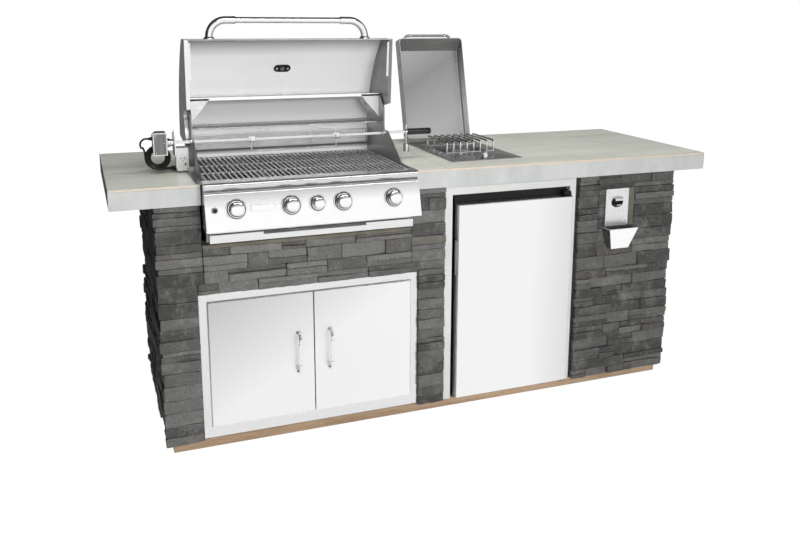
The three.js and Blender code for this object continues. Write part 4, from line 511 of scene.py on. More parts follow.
def brushed_finishes(c):
    """Tone, brush lines, roughness, strength of the lines and of the waves, smudge scale, and metallic."""
    return {
        "stainless": (c.steel, ALONG, (0.16, 0.33), 0.03, 0.02, 5.0, 0.85),
        "stainless_upright": (c.steel, UPRIGHT, (0.2, 0.36), 0.03, 0.02, 5.0, 0.85),
        "outer_steel": (c.steel, ALONG, (0.2, 0.34), 0.02, 0.02, 5.0, 0.6),
        "hood_steel": (c.hood_steel, ALONG, (0.26, 0.3), 0.0, 0.02, 5.0, 0.1),
        "rim_steel": (c.hood_steel, ALONG, (0.26, 0.3), 0.0, 0.02, 5.0, 0.3),
        "housing_steel": (c.hood_steel, ALONG, (0.24, 0.28), 0.0, 0.02, 5.0, 0.3),
        # A darker copy of the housing's steel: painted shade on the gussets.
        "gusset_steel": (grey(0.7), ALONG, (0.26, 0.3), 0.0, 0.02, 5.0, 0.3),
        "cap_steel": (c.cap_steel, UPRIGHT, (0.22, 0.34), 0.01, 0.02, 5.0, 0.6),
        # A darker copy of the steel: painted shade on the lid's brow and a painted reflection on its handle.
        "brow_steel": (grey(0.3), ALONG, (0.22, 0.34), 0.01, 0.02, 5.0, 0.6),
        # The lid's right inner wall: bright steel with painted shade at its top.
        "wall_steel": (c.door_steel, ALONG, (0.16, 0.24), 0.01, 0.01, 5.0, 0.9),
        "lid_steel": (c.lid_steel, ALONG, (0.2, 0.3), 0.02, 0.02, 5.0, 0.85),
        "pan_steel": (c.pan_steel, UPRIGHT, (0.08, 0.18), 0.02, 0.02, 5.0, 0.8),
        "panel_steel": (c.door_steel, ALONG, (0.1, 0.18), 0.01, 0.01, 5.0, 0.9),
        "door_steel": (c.door_steel, UPRIGHT, (0.26, 0.42), 0.02, 0.02, 2.0, 1.0),
        "fridge_steel": (c.door_steel, UPRIGHT, (0.26, 0.42), 0.02, 0.02, 2.0, 1.0),
        "bucket_steel": (c.door_steel, UPRIGHT, (0.2, 0.3), 0.01, 0.0, 5.0, 0.7),
        # A dark copy of the bucket's steel: painted shade and painted reflection on its sides and inside.
        "bucket_shade": (grey(0.2), UPRIGHT, (0.2, 0.3), 0.01, 0.0, 5.0, 0.8),
        "opener_steel": (grey(0.74), UPRIGHT, (0.24, 0.34), 0.01, 0.0, 5.0, 0.7),
        "rack_steel": (grey(0.3), ROUND, (0.16, 0.24), 0.01, 0.0, 8.0, 1.0),
        "chrome": (c.chrome, ROUND, (0.04, 0.1), 0.012, 0.0, 8.0, 1.0),
        "dull_steel": (grey(0.42), ALONG, (0.32, 0.5), 0.15, 0.05, 12.0, 1.0),
        "grate_steel": ((0.55, 0.55, 0.555), (60.0, 8.0, 60.0), (0.2, 0.36), 0.1, 0.05, 25.0, 0.7),
    }


def painted_sheens(c):
    """Painted reflection and shade on the steels: near and far tone of a finish that changes, the corner
    where it is near, and its share over a metre.
    """
    return {
        # Painted shade along the open hood's top edge.
        "hood_steel": (c.hood_painted_shade, c.hood_steel, (-0.92, 0.0, 1.483), (0.25, 0.0, -13.0)),
        # Painted shadow: a dark band low on the housing, just above the grate.
        "housing_steel": (grey(0.06), c.hood_steel, (0.0, 0.0, 1.036), (0.0, 0.0, 55.0)),
        # Painted shade: the hood's right end cap dark, growing lighter towards the left one.
        "cap_steel": (grey(0.21), c.cap_steel, (-0.13, 0.0, 0.0), (1.27, 0.0, 0.0)),
        # Painted shade at the top of the lid's right inner wall, fading towards its bottom.
        "wall_steel": (grey(0.3), c.door_steel, (0.0, 0.0, 1.42), (0.0, 0.0, -4.0)),
        # Painted reflection: a darker band slanting across the side burner's lid.
        "lid_steel": (c.lid_painted_shade, c.lid_steel, (0.13, 0.0, 1.24), (-2.2, 0.0, 3.7)),
        # Painted reflection: the pan darker towards its left edge.
        "pan_steel": (c.lid_painted_shade, c.pan_steel, (0.09, 0.0, 0.0), (3.2, 0.0, 0.0)),
        # Painted shade along the top of the control panel's face.
        "panel_steel": (c.panel_painted_shade, c.panel_steel, (0.0, 0.0, 0.974), (0.0, 0.0, -19.0)),
        # Painted reflection: the access doors darker towards their upper left corner.
        "door_steel": (c.door_painted_shade, c.door_steel, (-0.83, 0.0, 0.58), (1.4, 0.0, -2.3)),
        # Painted reflection: the refrigerator door darker towards its right edge.
        "fridge_steel": (grey(0.72), c.door_steel, (0.64, 0.0, 0.0), (4.0, 0.0, 0.0)),
    }


def make_materials(c):
    """Every finish on the island."""
    ledgestone_material(c)
    counter_tile_material(c)
    glass_material("shelf_glass", 0.03)
    glass_material("lens_glass", 0.16)
    painted = {name: mottled(name, *values) for name, values in mottled_finishes(c).items()}
    painted["black_shell"][1].inputs["Specular IOR Level"].default_value = 0.2
    steels = {name: brushed(name, *values) for name, values in brushed_finishes(c).items()}
    # Each finish in the table gets its painted reflection and shade.
    tones = {name: with_painted_sheen(steels[name], *values) for name, values in painted_sheens(c).items()}
    # Painted reflection: a second dark band on the housing, just under its rim.
    painted_rim_shade = (grey(0.1), tones["housing_steel"], (0.0, 0.0, 1.262), (0.0, 0.0, 24.0))
    with_painted_sheen(steels["housing_steel"], *painted_rim_shade)


# Mesh helpers: each adds closed geometry to a bmesh

AXIS_TURNS = {
    "X": lambda u, v, w: (w, u, v),
    "Y": lambda u, v, w: (u, w, v),
    "Z": lambda u, v, w: (u, v, w),
}


def add_ring(bm, points, axis="Z", level=0.0, place=Matrix()):
    """Vertices of an outline of two coordinates, at a level along the third."""
    turn = AXIS_TURNS[axis]
    return [bm.verts.new(place @ Vector(turn(u, v, level))) for u, v in points]


def add_faces(bm, rings, finish=0, closed=False, capped=False):
    """Skins rings of vertices, one after another; a ring of one vertex is a tip."""
    pairs = list(zip(rings, rings[1:] + rings[:1])) if closed else list(zip(rings, rings[1:]))
    sides = max(len(ring) for ring in rings)
    for first, second in pairs:
        for i in range(sides):
            j = (i + 1) % sides
            corners = [ring[k % len(ring)] for ring, k in ((first, i), (first, j), (second, j), (second, i))]
            corners = list(dict.fromkeys(corners))
            if len(corners) > 2:
                bm.faces.new(corners).material_index = finish
    if capped:
        bm.faces.new(rings[0][::-1]).material_index = finish
        bm.faces.new(rings[-1]).material_index = finish


def add_prism(bm, outline, axis, low, high, finish=0, place=Matrix()):
    """An outline of two coordinates, carried along the third."""
    add_faces(bm, [add_ring(bm, outline, axis, w, place) for w in (low, high)], finish, capped=True)


def add_block(bm, x, y, z, finish=0, place=Matrix()):
    add_prism(bm, rectangle(*x, *y), "Z", *z, finish, place)


def add_window(bm, outer, inner, axis, low, high, finish=0, place=Matrix()):
    """A frame: two outlines with as many points, one inside the other, carried along an axis."""
    spots = [(outer, low), (inner, low), (inner, high), (outer, high)]
    add_faces(bm, [add_ring(bm, points, axis, w, place) for points, w in spots], finish, closed=True)


def add_turned(bm, profile, sides, place=Matrix(), finish=0, flutes=None, hollow=False):
    """A turned piece about local Z, from pairs of radius and height.

    Flutes are their number, their depth, and the first and last pair of the profile that has them.
    """
    rings = []
    for k, (radius, height) in enumerate(profile):
        points = [(0.0, 0.0)]
        if radius > 1e-7:
            angles = [2 * math.pi * i / sides for i in range(sides)]
            radii = [radius] * sides
            if flutes and flutes[2] <= k <= flutes[3]:
                radii = [radius - flutes[1] * max(0.0, math.cos(flutes[0] * a)) ** 2 for a in angles]
            points = [(r * math.cos(a), r * math.sin(a)) for r, a in zip(radii, angles)]
        rings.append(add_ring(bm, points, "Z", height, place))
    add_faces(bm, rings, finish, closed=hollow)


def add_tube(bm, points, radius, sides=16, finish=0, place=Matrix()):
    """A round bar through points; radius is one number, or one for each point."""
    points = [Vector(p) for p in points]
    radii = radius if isinstance(radius, (list, tuple)) else [radius] * len(points)
    normal = (points[1] - points[0]).orthogonal().normalized()
    rings = []
    for i, (point, r) in enumerate(zip(points, radii)):
        tangent = (points[min(i + 1, len(points) - 1)] - points[max(i - 1, 0)]).normalized()
        normal = (normal - tangent * normal.dot(tangent)).normalized()
        across = tangent.cross(normal)
        angles = [2 * math.pi * k / sides for k in range(sides)]
        spots = [point + (normal * math.cos(a) + across * math.sin(a)) * r for a in angles]
        rings.append([bm.verts.new(place @ spot) for spot in spots])
    add_faces(bm, rings, finish, capped=True)


def arc(centre, radius, start, end, steps):
    """Points on an arc, angles in degrees."""
    angles = [math.radians(start + (end - start) * i / steps) for i in range(steps + 1)]
    return [(centre[0] + radius * math.cos(a), centre[1] + radius * math.sin(a)) for a in angles]


def rectangle(u0, u1, v0, v1, corner=0.0, steps=5):
    """A rectangle's outline, with round corners if a radius is given."""
    if corner <= 0.0:
        return [(u0, v0), (u1, v0), (u1, v1), (u0, v1)]
    spots = [(u1 - corner, v0 + corner, -90), (u1 - corner, v1 - corner, 0)]
    spots += [(u0 + corner, v1 - corner, 90), (u0 + corner, v0 + corner, 180)]
    return [p for u, v, start in spots for p in arc((u, v), corner, start, start + 90, steps)]


def bent(corners, bend, steps=8):
    """Straight stretches through corner points, each inner corner turned on an arc."""
    corners = [Vector(c) for c in corners]
    points = [corners[0]]
    for before, corner, after in zip(corners, corners[1:], corners[2:]):
        back, on = (before - corner).normalized(), (after - corner).normalized()
        half = back.angle(on) / 2
        setback = min(bend / math.tan(half), (before - corner).length * 0.98, (after - corner).length * 0.98)
        radius = setback * math.tan(half)
        centre = corner + (back + on).normalized() * (radius / math.sin(half))
        start, end = corner + back * setback - centre, corner + on * setback - centre
        turn_axis, sweep = start.cross(end).normalized(), start.angle(end)
        turns = [Matrix.Rotation(sweep * i / steps, 3, turn_axis) for i in range(steps + 1)]
        points += [centre + turned @ start for turned in turns]
    return points + [corners[-1]]


def offset_line(points, gap):
    """An open line of two coordinates, set over to its left by a gap."""
    moved = []
    for i, (u, v) in enumerate(points):
        u0, v0 = points[max(i - 1, 0)]
        u1, v1 = points[min(i + 1, len(points) - 1)]
        size = math.hypot(u1 - u0, v1 - v0)
        moved.append((u - (v1 - v0) / size * gap, v + (u1 - u0) / size * gap))
    return moved


def at(x, y, z, turn_x=0.0, turn_y=0.0, turn_z=0.0):
    """A place, turned about Z, then Y, then X, in degrees."""
    turned = Matrix.Rotation(math.radians(turn_x), 4, "X") @ Matrix.Rotation(math.radians(turn_y), 4, "Y")
    return Matrix.Translation((x, y, z)) @ turned @ Matrix.Rotation(math.radians(turn_z), 4, "Z")


def add_screw(bm, place, r, h, sides=16, finish=0):
    """A low domed head of a screw or rivet."""
    profile = [(0, -0.0005), (r, -0.0005), (r, 0.1 * h), (r * 0.85, 0.65 * h), (r * 0.45, 0.95 * h), (0, h)]
    add_turned(bm, profile, sides, place, finish)


def soften(obj, width, steps=2, angle=34.0):
    bevel = obj.modifiers.new("Soft edges", "BEVEL")
    bevel.width = width
    bevel.segments = steps
    bevel.limit_method = "ANGLE"
    bevel.angle_limit = math.radians(angle)
    bevel.harden_normals = True
    bevel.use_clamp_overlap = True


def piece(name, bm, finishes, body="island", replaces=(), bevel=0.0, sharp=33.0):
    """Turns a bmesh into a shown piece that rides on a body and may stand for nodes of the frame."""
    finishes = [finishes] if isinstance(finishes, str) else finishes
    bmesh.ops.recalc_face_normals(bm, faces=bm.faces)
    mesh = bpy.data.meshes.new(name)
    bm.to_mesh(mesh)
    bm.free()
    obj = bpy.data.objects.new(name, mesh)
    bpy.context.scene.collection.objects.link(obj)
    for finish in finishes:
        mesh.materials.append(finish_of(finish))
    mesh.shade_smooth()
    mesh.set_sharp_from_angle(angle=math.radians(sharp))
    if bevel > 0.0:
        soften(obj, bevel)
    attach(obj, body)
    if replaces:
        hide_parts(*([replaces] if isinstance(replaces, str) else replaces))
    return obj


def dress(node, finish, bevel=0.0):
    """Gives a node of the frame its finish, and softens its edges."""
    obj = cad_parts[node]
    obj.data.materials.clear()
    obj.data.materials.append(finish_of(finish))
    if bevel > 0.0:
        obj.modifiers.new("Weld", "WELD").merge_threshold = 0.00002
        soften(obj, bevel)


# Operators


class IslandStep(Operator):
    """Shared base of the island's operators."""

    bl_options = {"REGISTER", "UNDO"}

    def execute(self, context):
        self.build(context.scene)
        return {"FINISHED"}


# Place, target and size of each area light; its power is a property
LAMPS = {
    "key": ((-0.3, -4.6, 1.9), (-2.3, -0.3, 0.75), (1.9, 1.5)),
    "top": ((0.6, -0.5, 3.0), (0.6, -0.5, 1.0), (2.0, 1.2)),
    "left": ((-0.98, -0.45, 2.6), (-0.98, -0.45, 1.0), (0.5, 0.5)),
    "back": ((0.4, 4.6, 1.5), (0.2, 0.4, 0.5), (2.2, 1.2)),
    "right": ((5.0, 0.6, 1.5), (1.2, 0.2, 0.5), (1.0, 1.0)),
    "strip": ((0.0, -2.2, 3.3), (0.0, -0.3, 1.0), (2.6, 0.22)),
}


class ISLAND_OT_stage(IslandStep):
    """Camera, studio light, background and floor"""

    bl_idname = "island.stage"
    bl_label = "Stage"

    def build(self, scene):
        scene.view_settings.view_transform = "Standard"
        self.make_camera(scene)
        self.make_world(scene)
        self.make_floor(scene)
        self.make_card(scene)
        for name, spot in LAMPS.items():
            lamp = self.make_lamp(scene, name, *spot)
            lamp.visible_glossy = name == "strip"
            lamp.visible_diffuse = name != "strip"

    def make_camera(self, scene):
        """A camera that sees the island as the photo does."""
        camera = bpy.data.objects.new("camera", bpy.data.cameras.new("camera"))
        scene.collection.objects.link(camera)
        place = (-1.2882, -3.38407, 1.5896)
        right = Vector((0.92642662, -0.37637717, 0.00859916))
        up = Vector((0.07254593, 0.20088681, 0.97692455))
        axes = Matrix((right, up, right.cross(up))).transposed()
        camera.matrix_world = Matrix.Translation(place) @ axes.to_4x4()
        camera.data.sensor_width = 36.0
        camera.data.lens = 38.993
        camera.data.shift_x = -0.03654
        camera.data.shift_y = -0.08373
        camera.data.clip_end = 100.0
        scene.camera = camera

    def make_world(self, scene):
        """White for the camera, an even light, and for mirrors a bright front and darkness elsewhere."""
        world = bpy.data.worlds.new("studio")
        world.use_nodes = True
        scene.world = world
        g = Graph(world.node_tree)
        way = g.add("ShaderNodeTexCoord").outputs["Generated"]
        fades = [
            ("Z", 1.1, 0.4, 0.37, 0.48),
            ("Z", 1.0, 0.2, 0.5, 0.7),
            ("X", 1.0, 0.08, -0.5, -0.72),
            ("X", 1.0, 0.2, 0.78, 0.92),
            ("Y", 1.0, 0.14, -0.2, 0.5),
        ]
        mirrored = 1.0
        for axis, *fade in fades:
            mirrored = g.math("MULTIPLY", mirrored, g.spread(g.part(way, axis), *fade))
        camera, mirror = g.rays()
        strength = g.mix_values(mirror, scene.island_light.sky, mirrored)
        strength = g.mix_values(camera, strength, 1.0)
        white = {"Color": (1.0, 1.0, 1.0, 1.0), "Strength": strength}
        g.feed(world.node_tree.nodes["Background"], white)

    def make_floor(self, scene):
        """A white floor that keeps a faint shadow near the island and melts into the background."""
        g, shader = blank("studio_floor", 0.9, 0.0, (0.8, 0.8, 0.8))
        camera, mirror = g.rays()
        away = g.add("ShaderNodeVectorMath", {0: g.place()}, operation="LENGTH").outputs["Value"]
        share = g.math("MULTIPLY", g.spread(away, 0.95, 1.0, 1.4, 4.5), g.math("MAXIMUM", camera, mirror))
        behind = g.spread(g.part(g.place(), "Y"), 1.0, 0.16, 0.3, 1.6)
        white = {"Color": (1.0, 1.0, 1.0, 1.0), "Strength": g.mix_values(mirror, 1.04, behind)}
        glow = g.add("ShaderNodeEmission", white).outputs[0]
        mixed = g.add("ShaderNodeMixShader", {0: share, 1: shader.outputs[0], 2: glow}).outputs[0]
        g.feed(g.tree.nodes["Material Output"], {"Surface": mixed})
        reach = scene.island_light.floor_reach
        corners = [(x, y, 0.0) for x, y in rectangle(-reach, reach, -reach, reach)]
        self.make_flat(scene, "studio_floor", corners, "studio_floor")

    def make_card(self, scene):
        """A black card that stands on the floor, unseen by the camera, and keeps light off the left end."""
        x, front, back, high = -1.7, -1.0, 1.1, 1.8
        corners = [(x, front, 0.0), (x, back, 0.0), (x, back, high), (x, front, high)]
        card = self.make_flat(scene, "left_card", corners, "grip_plastic")
        card.visible_camera = False

    def make_flat(self, scene, name, corners, finish):
        """One flat face that belongs to the studio."""
        mesh = bpy.data.meshes.new(name)
        mesh.from_pydata(corners, [], [(0, 1, 2, 3)])
        mesh.materials.append(finish_of(finish))
        flat = bpy.data.objects.new(name, mesh)
        scene.collection.objects.link(flat)
        return flat

    def make_lamp(self, scene, name, place, target, size):
        data = bpy.data.lights.new(name + "_light", "AREA")
        data.shape = "RECTANGLE"
        data.size, data.size_y = size
        data.energy = getattr(scene.island_light, name + "_power")
        lamp = bpy.data.objects.new(name + "_light", data)
        scene.collection.objects.link(lamp)
        turned = (Vector(target) - Vector(place)).to_track_quat("-Z", "Y").to_matrix().to_4x4()
        lamp.matrix_world = Matrix.Translation(place) @ turned
        return lamp


class ISLAND_OT_cord(IslandStep):
    """The rotisserie motor's cord: lead, coil and plug"""

    bl_idname = "island.cord"
    bl_label = "Motor cord"

    def build(self, scene):
        diameter = 0.007
        gland = Vector((-1.0576, SPIT_Y, 1.1255))
        coil = Vector((-1.0213, -0.0742, 1.0488))
        outer, pitch, turns, steps = 0.046, 0.0078, 5.25, 36
        join = coil - Vector((outer, 0.0, 0.0))
        route = [
            gland,
            gland + Vector((-0.01, 0.0, 0.0)),
            gland + Vector((-0.021, 0.002, -0.006)),
            gland + Vector((-0.027, 0.006, -0.018)),
            gland + Vector((-0.024, 0.015, -0.034)),
            join + Vector((-0.007, -0.013, 0.039)),
            join + Vector((-0.001, -0.002, 0.021)),
            join + Vector((0.0, 0.0, 0.0133)),
            join + Vector((0.0, 0.0, 0.0073)),
        ]
        points = self.smooth(route, 5)
        points.append(join + Vector((0.0, 0.0, diameter)))
        for i in range(round(turns * steps) + 1):
            turn = i / steps
            angle = math.pi + 2 * math.pi * turn
            radius = outer - pitch * min(turn, turns - turn)
            share = min(max((turn - (turns / 2 - 0.25)) / 0.5, 0.0), 1.0)
            climb = share * share * (3 - 2 * share)
            points.append(coil + Vector((radius * math.cos(angle), pitch * climb, radius * math.sin(angle))))
        points.append(points[-1] + Vector((diameter, 0.0, 0.0)))
        bm = bmesh.new()
        add_tube(bm, points, diameter / 2, 12)
        cord = piece("motor_cord", bm, "black_rubber", replaces=("cord_lead", "cord_coil"), sharp=60.0)
        plug = self.make_plug(points[-1], diameter)
        total = sum((b - a).length for a, b in zip(points, points[1:]))

    def smooth(self, route, steps):
        """A centripetal curve through the route's points."""
        ends = [route[0] * 2 - route[1], *route, route[-1] * 2 - route[-2]]
        points = []
        for a, b, c, d in zip(ends, ends[1:], ends[2:], ends[3:]):
            t0 = 0.0
            t1 = t0 + math.sqrt((b - a).length)
            t2 = t1 + math.sqrt((c - b).length)
            t3 = t2 + math.sqrt((d - c).length)
            for i in range(steps):
                t = t1 + (t2 - t1) * i / steps
                ab = a.lerp(b, (t - t0) / (t1 - t0))
                bc = b.lerp(c, (t - t1) / (t2 - t1))
                cd = c.lerp(d, (t - t2) / (t3 - t2))
                abc, bcd = ab.lerp(bc, (t - t0) / (t2 - t0)), bc.lerp(cd, (t - t1) / (t3 - t1))
                points.append(abc.lerp(bcd, (t - t1) / (t2 - t1)))
        return points + [route[-1]]

    def make_plug(self, end, diameter):
        low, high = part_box("cord_plug")
        body, width, thick, prong, gap = 0.034, 0.024, 0.013, 0.016, 0.007
        middle = Vector((high.x - prong - body, end.y, low.z + thick / 2))
        bm = bmesh.new()
        neck = [end + Vector((SEAT, 0.0, 0.0)), end.lerp(middle, 0.35), end.lerp(middle, 0.7)]
        neck.append(middle + Vector((0.004, 0.0, 0.0)))
        add_tube(bm, neck, [diameter * 0.56, diameter * 0.62, diameter * 0.74, diameter * 0.86])
        outline = rectangle(-width / 2, width / 2, -thick / 2, thick / 2, 0.004)
        narrow = [(u * 0.72, v * 0.8) for u, v in outline]
        place = Matrix.Translation(middle)
        spots = ((0.0, narrow), (0.007, outline), (body * 0.8, outline), (body, narrow))
        add_faces(bm, [add_ring(bm, points, "X", x, place) for x, points in spots], capped=True)
        prong_half, prong_wide, bright = 0.00075, 0.0032, 1
        for side in (-gap, gap):
            across = (side - prong_half, side + prong_half)
            add_block(bm, (body - 0.001, body + prong), across, (-prong_wide, prong_wide), bright, place)
        return piece("cord_plug_moulding", bm, ["black_rubber", "chrome"], replaces="cord_plug", bevel=0.0006)


class ISLAND_OT_carried(IslandStep):
    """Finishes of the nodes that stay as they are"""

    bl_idname = "island.carried"
    bl_label = "Carried finishes"

    def build(self, scene):
        edges = scene.island_edges
        walls = ["left_end_wall", "right_end_wall", "rear_wall", "cabinet_divider", "counter_board"]
        table = {
            "deck_wood": (edges.board, ["base_deck"]),
            "cement_board": (0.0, walls),
            "counter_tile": (edges.tile, ["counter_tile_left", "counter_tile_rear", "counter_tile_right"]),
            "fascia_tile": (edges.tile, ["fascia_left", "fascia_right"]),
            "stainless": (edges.sheet, ["access_frame", "drip_tray", "spit_rod"]),
            "dull_steel": (0.0, ["grill_firebox", "flame_tamers", "burner_tubes"]),
            "door_steel": (edges.sheet, ["access_door_left", "access_door_right"]),
            "fridge_steel": (edges.sheet, ["fridge_door"]),
            "trim_paint": (edges.sheet, ["fridge_trim"]),
            "black_shell": (edges.sheet, ["fridge_cabinet"]),
            "shelf_glass": (edges.sheet, ["fridge_shelf"]),
        }
        for finish, (bevel, nodes) in table.items():
            for node in nodes:
                dress(node, finish, bevel)


# The ledgestone, laid out as the frame's own stones are


def drawer(seed):
    """A repeatable draw between 0 and 1."""
    state = seed
    while True:
        state = (state * 16807) % 2147483647
        yield state / 2147483647


class StoneWall:
    """Courses and stones of the ledgestone faces."""

    course_least, course_most, thin_least = 0.034, 0.06, 0.014

    def __init__(self, sizes):
        self.sizes = sizes
        self.courses = []
        draw = drawer(71)
        z = BASE_HIGH.z
        while z < FASCIA_LOW:
            following = z + self.course_least + (self.course_most - self.course_least) * next(draw)
            if FASCIA_LOW - following < self.course_least:
                following = FASCIA_LOW
            self.courses.append((z, following))
            z = following

    def stones(self, face):
        """Boxes (u0, u1, z0, z1, depth) of one face, broken into lengths and thick or thin stones."""
        draw = drawer(face["seed"])
        found = []
        for number, course in enumerate(self.courses):
            low, high = max(course[0], face["bottom"]), min(course[1], face["top"])
            if high - low < self.thin_least:
                continue
            runs = face["runs"](course)
            for index, (start, stop) in enumerate(runs):
                u = start
                while u < stop:
                    size = face["least"] + (face["most"] - face["least"]) * next(draw)
                    end = stop if stop - (u + size) < face["least"] else u + size
                    split = next(draw) < face["splits"] and high - low > 2 * self.thin_least
                    middle = low + (high - low) * (0.38 + 0.24 * next(draw)) if split else high
                    first = index == 0 and u == start and number % 2 in face["starts"]
                    last = index == len(runs) - 1 and end == stop and number % 2 in face["ends"]
                    for bottom, top in [(low, middle), (middle, high)] if split else [(low, high)]:
                        depth = self.sizes.depth + self.sizes.relief * (2 * next(draw) - 1)
                        reach = self.sizes.depth + self.sizes.relief * (2 * next(draw) - 1)
                        u0, u1 = u - reach if first else u, end + reach if last else end
                        found.append((u0, u1, bottom, top, depth))
                    u = end
        return found


class RoughStones:
    """Collects the stones of one face as one mesh: worn edges, chipped faces, and a tone for each stone."""

    root, chip_depth, chip_slope = 0.003, 0.006, 0.2

    def __init__(self, sizes, seed, turn, lift):
        self.sizes, self.turn, self.lift = sizes, turn, lift
        self.draw = drawer(seed + 1000)
        self.points, self.faces, self.marks = [], [], []

    def lines(self, low, high):
        """Levels across a stone: its two ends, and steps of about one grid between its worn edges."""
        edge, grid = self.sizes.edge, self.sizes.grid
        inner = max(high - low - 2 * edge, 0.001)
        count = max(int(round(inner / grid)), 1)
        middle = [low + (high - low - inner) / 2 + inner * i / count for i in range(count + 1)]
        return [low, *middle, high]

    def add(self, u0, u1, z0, z1, depth):
        """A box of small faces whose sides share their points."""
        gap = self.sizes.joint
        low, high = (u0 + gap, -self.root, z0 + gap), (u1 - gap, depth, z1 - gap)
        axes = [self.lines(low[k], high[k]) for k in range(3)]
        axes[1] = [low[1], *self.lines(0.0, depth)[1:]]
        counts = [len(a) for a in axes]
        chips = self.chips(low, high)
        edge = min(self.sizes.edge, (high[2] - low[2]) * 0.4)
        tone = min(max(next(self.draw) ** 1.3 + self.lift, 0.0), 1.2)
        warmth = max(0.0, next(self.draw) - 0.72) * 1.1
        index = {}

        def corner(key):
            if key not in index:
                index[key] = len(self.points)
                self.points.append(self.worn([axes[k][key[k]] for k in range(3)], low, high, edge, chips))
                # This mark is wear and a painted highlight: full on the face's top edge, half on its side
                # edges, none at its bottom.
                side = key[0] in (0, counts[0] - 1)
                wear = (0.5 * side + (key[2] == counts[2] - 1)) * (key[1] == counts[1] - 1)
                self.marks.append((tone, warmth, min(wear, 1.0)))
            return index[key]

        for axis in range(3):
            a, b = [k for k in range(3) if k != axis]
            for side in (0, counts[axis] - 1):
                for i in range(counts[a] - 1):
                    for j in range(counts[b] - 1):
                        quad = []
                        for di, dj in ((0, 0), (1, 0), (1, 1), (0, 1)):
                            key = [0, 0, 0]
                            key[axis], key[a], key[b] = side, i + di, j + dj
                            quad.append(corner(tuple(key)))
                        self.faces.append(quad)

    def chips(self, low, high):
        """Slopes that fall away from a point on the face, as a split face has."""
        found = []
        for _ in range(3):
            angle = 2 * math.pi * next(self.draw)
            slope = 0.02 + self.chip_slope * next(self.draw) ** 2
            u = low[0] + (high[0] - low[0]) * next(self.draw)
            z = low[2] + (high[2] - low[2]) * next(self.draw)
            found.append((math.cos(angle) * slope, math.sin(angle) * slope, u, z))
        return found

    def worn(self, point, low, high, edge, chips):
        """A point of the box, moved by the round edge, the chips and the grain."""
        drop = 0.0
        for du, dz, u, z in chips:
            drop = max(drop, min((point[0] - u) * du + (point[2] - z) * dz, self.chip_depth))
        inner = [min(max(point[k], low[k] + edge), high[k] - edge) for k in range(3)]
        away = Vector([point[k] - inner[k] for k in range(3)])
        rounded = Vector(inner) + (away.normalized() * edge if away.length > 1e-9 else away)
        share = min(max(rounded.y / high[1], 0.0), 1.0)
        place = Vector(self.turn(*rounded))
        rough = noise.fractal(place * 26.0, 0.85, 2.1, 4) * self.sizes.grain
        fine = noise.fractal(place * 90.0, 0.8, 2.2, 3) * self.sizes.grain * 0.45
        rounded.y += (rough + fine - drop) * share
        rounded.x += noise.noise(place * 31.0) * self.sizes.grain * 0.9
        rounded.z += noise.noise(place * 37.0 + Vector((5.0, 0.0, 0.0))) * self.sizes.grain * 0.9
        return self.turn(*rounded)

    def into(self, bm):
        """Adds the stones, with tone, warmth, and wear with a painted highlight, as layers that their
        material reads.
        """
        layers = [bm.verts.layers.float.new("stone_" + name) for name in ("tone", "warmth", "wear")]
        made = []
        for point, marks in zip(self.points, self.marks):
            vertex = bm.verts.new(point)
            for layer, mark in zip(layers, marks):
                vertex[layer] = mark
            made.append(vertex)
        for quad in self.faces:
            bm.faces.new([made[i] for i in quad])


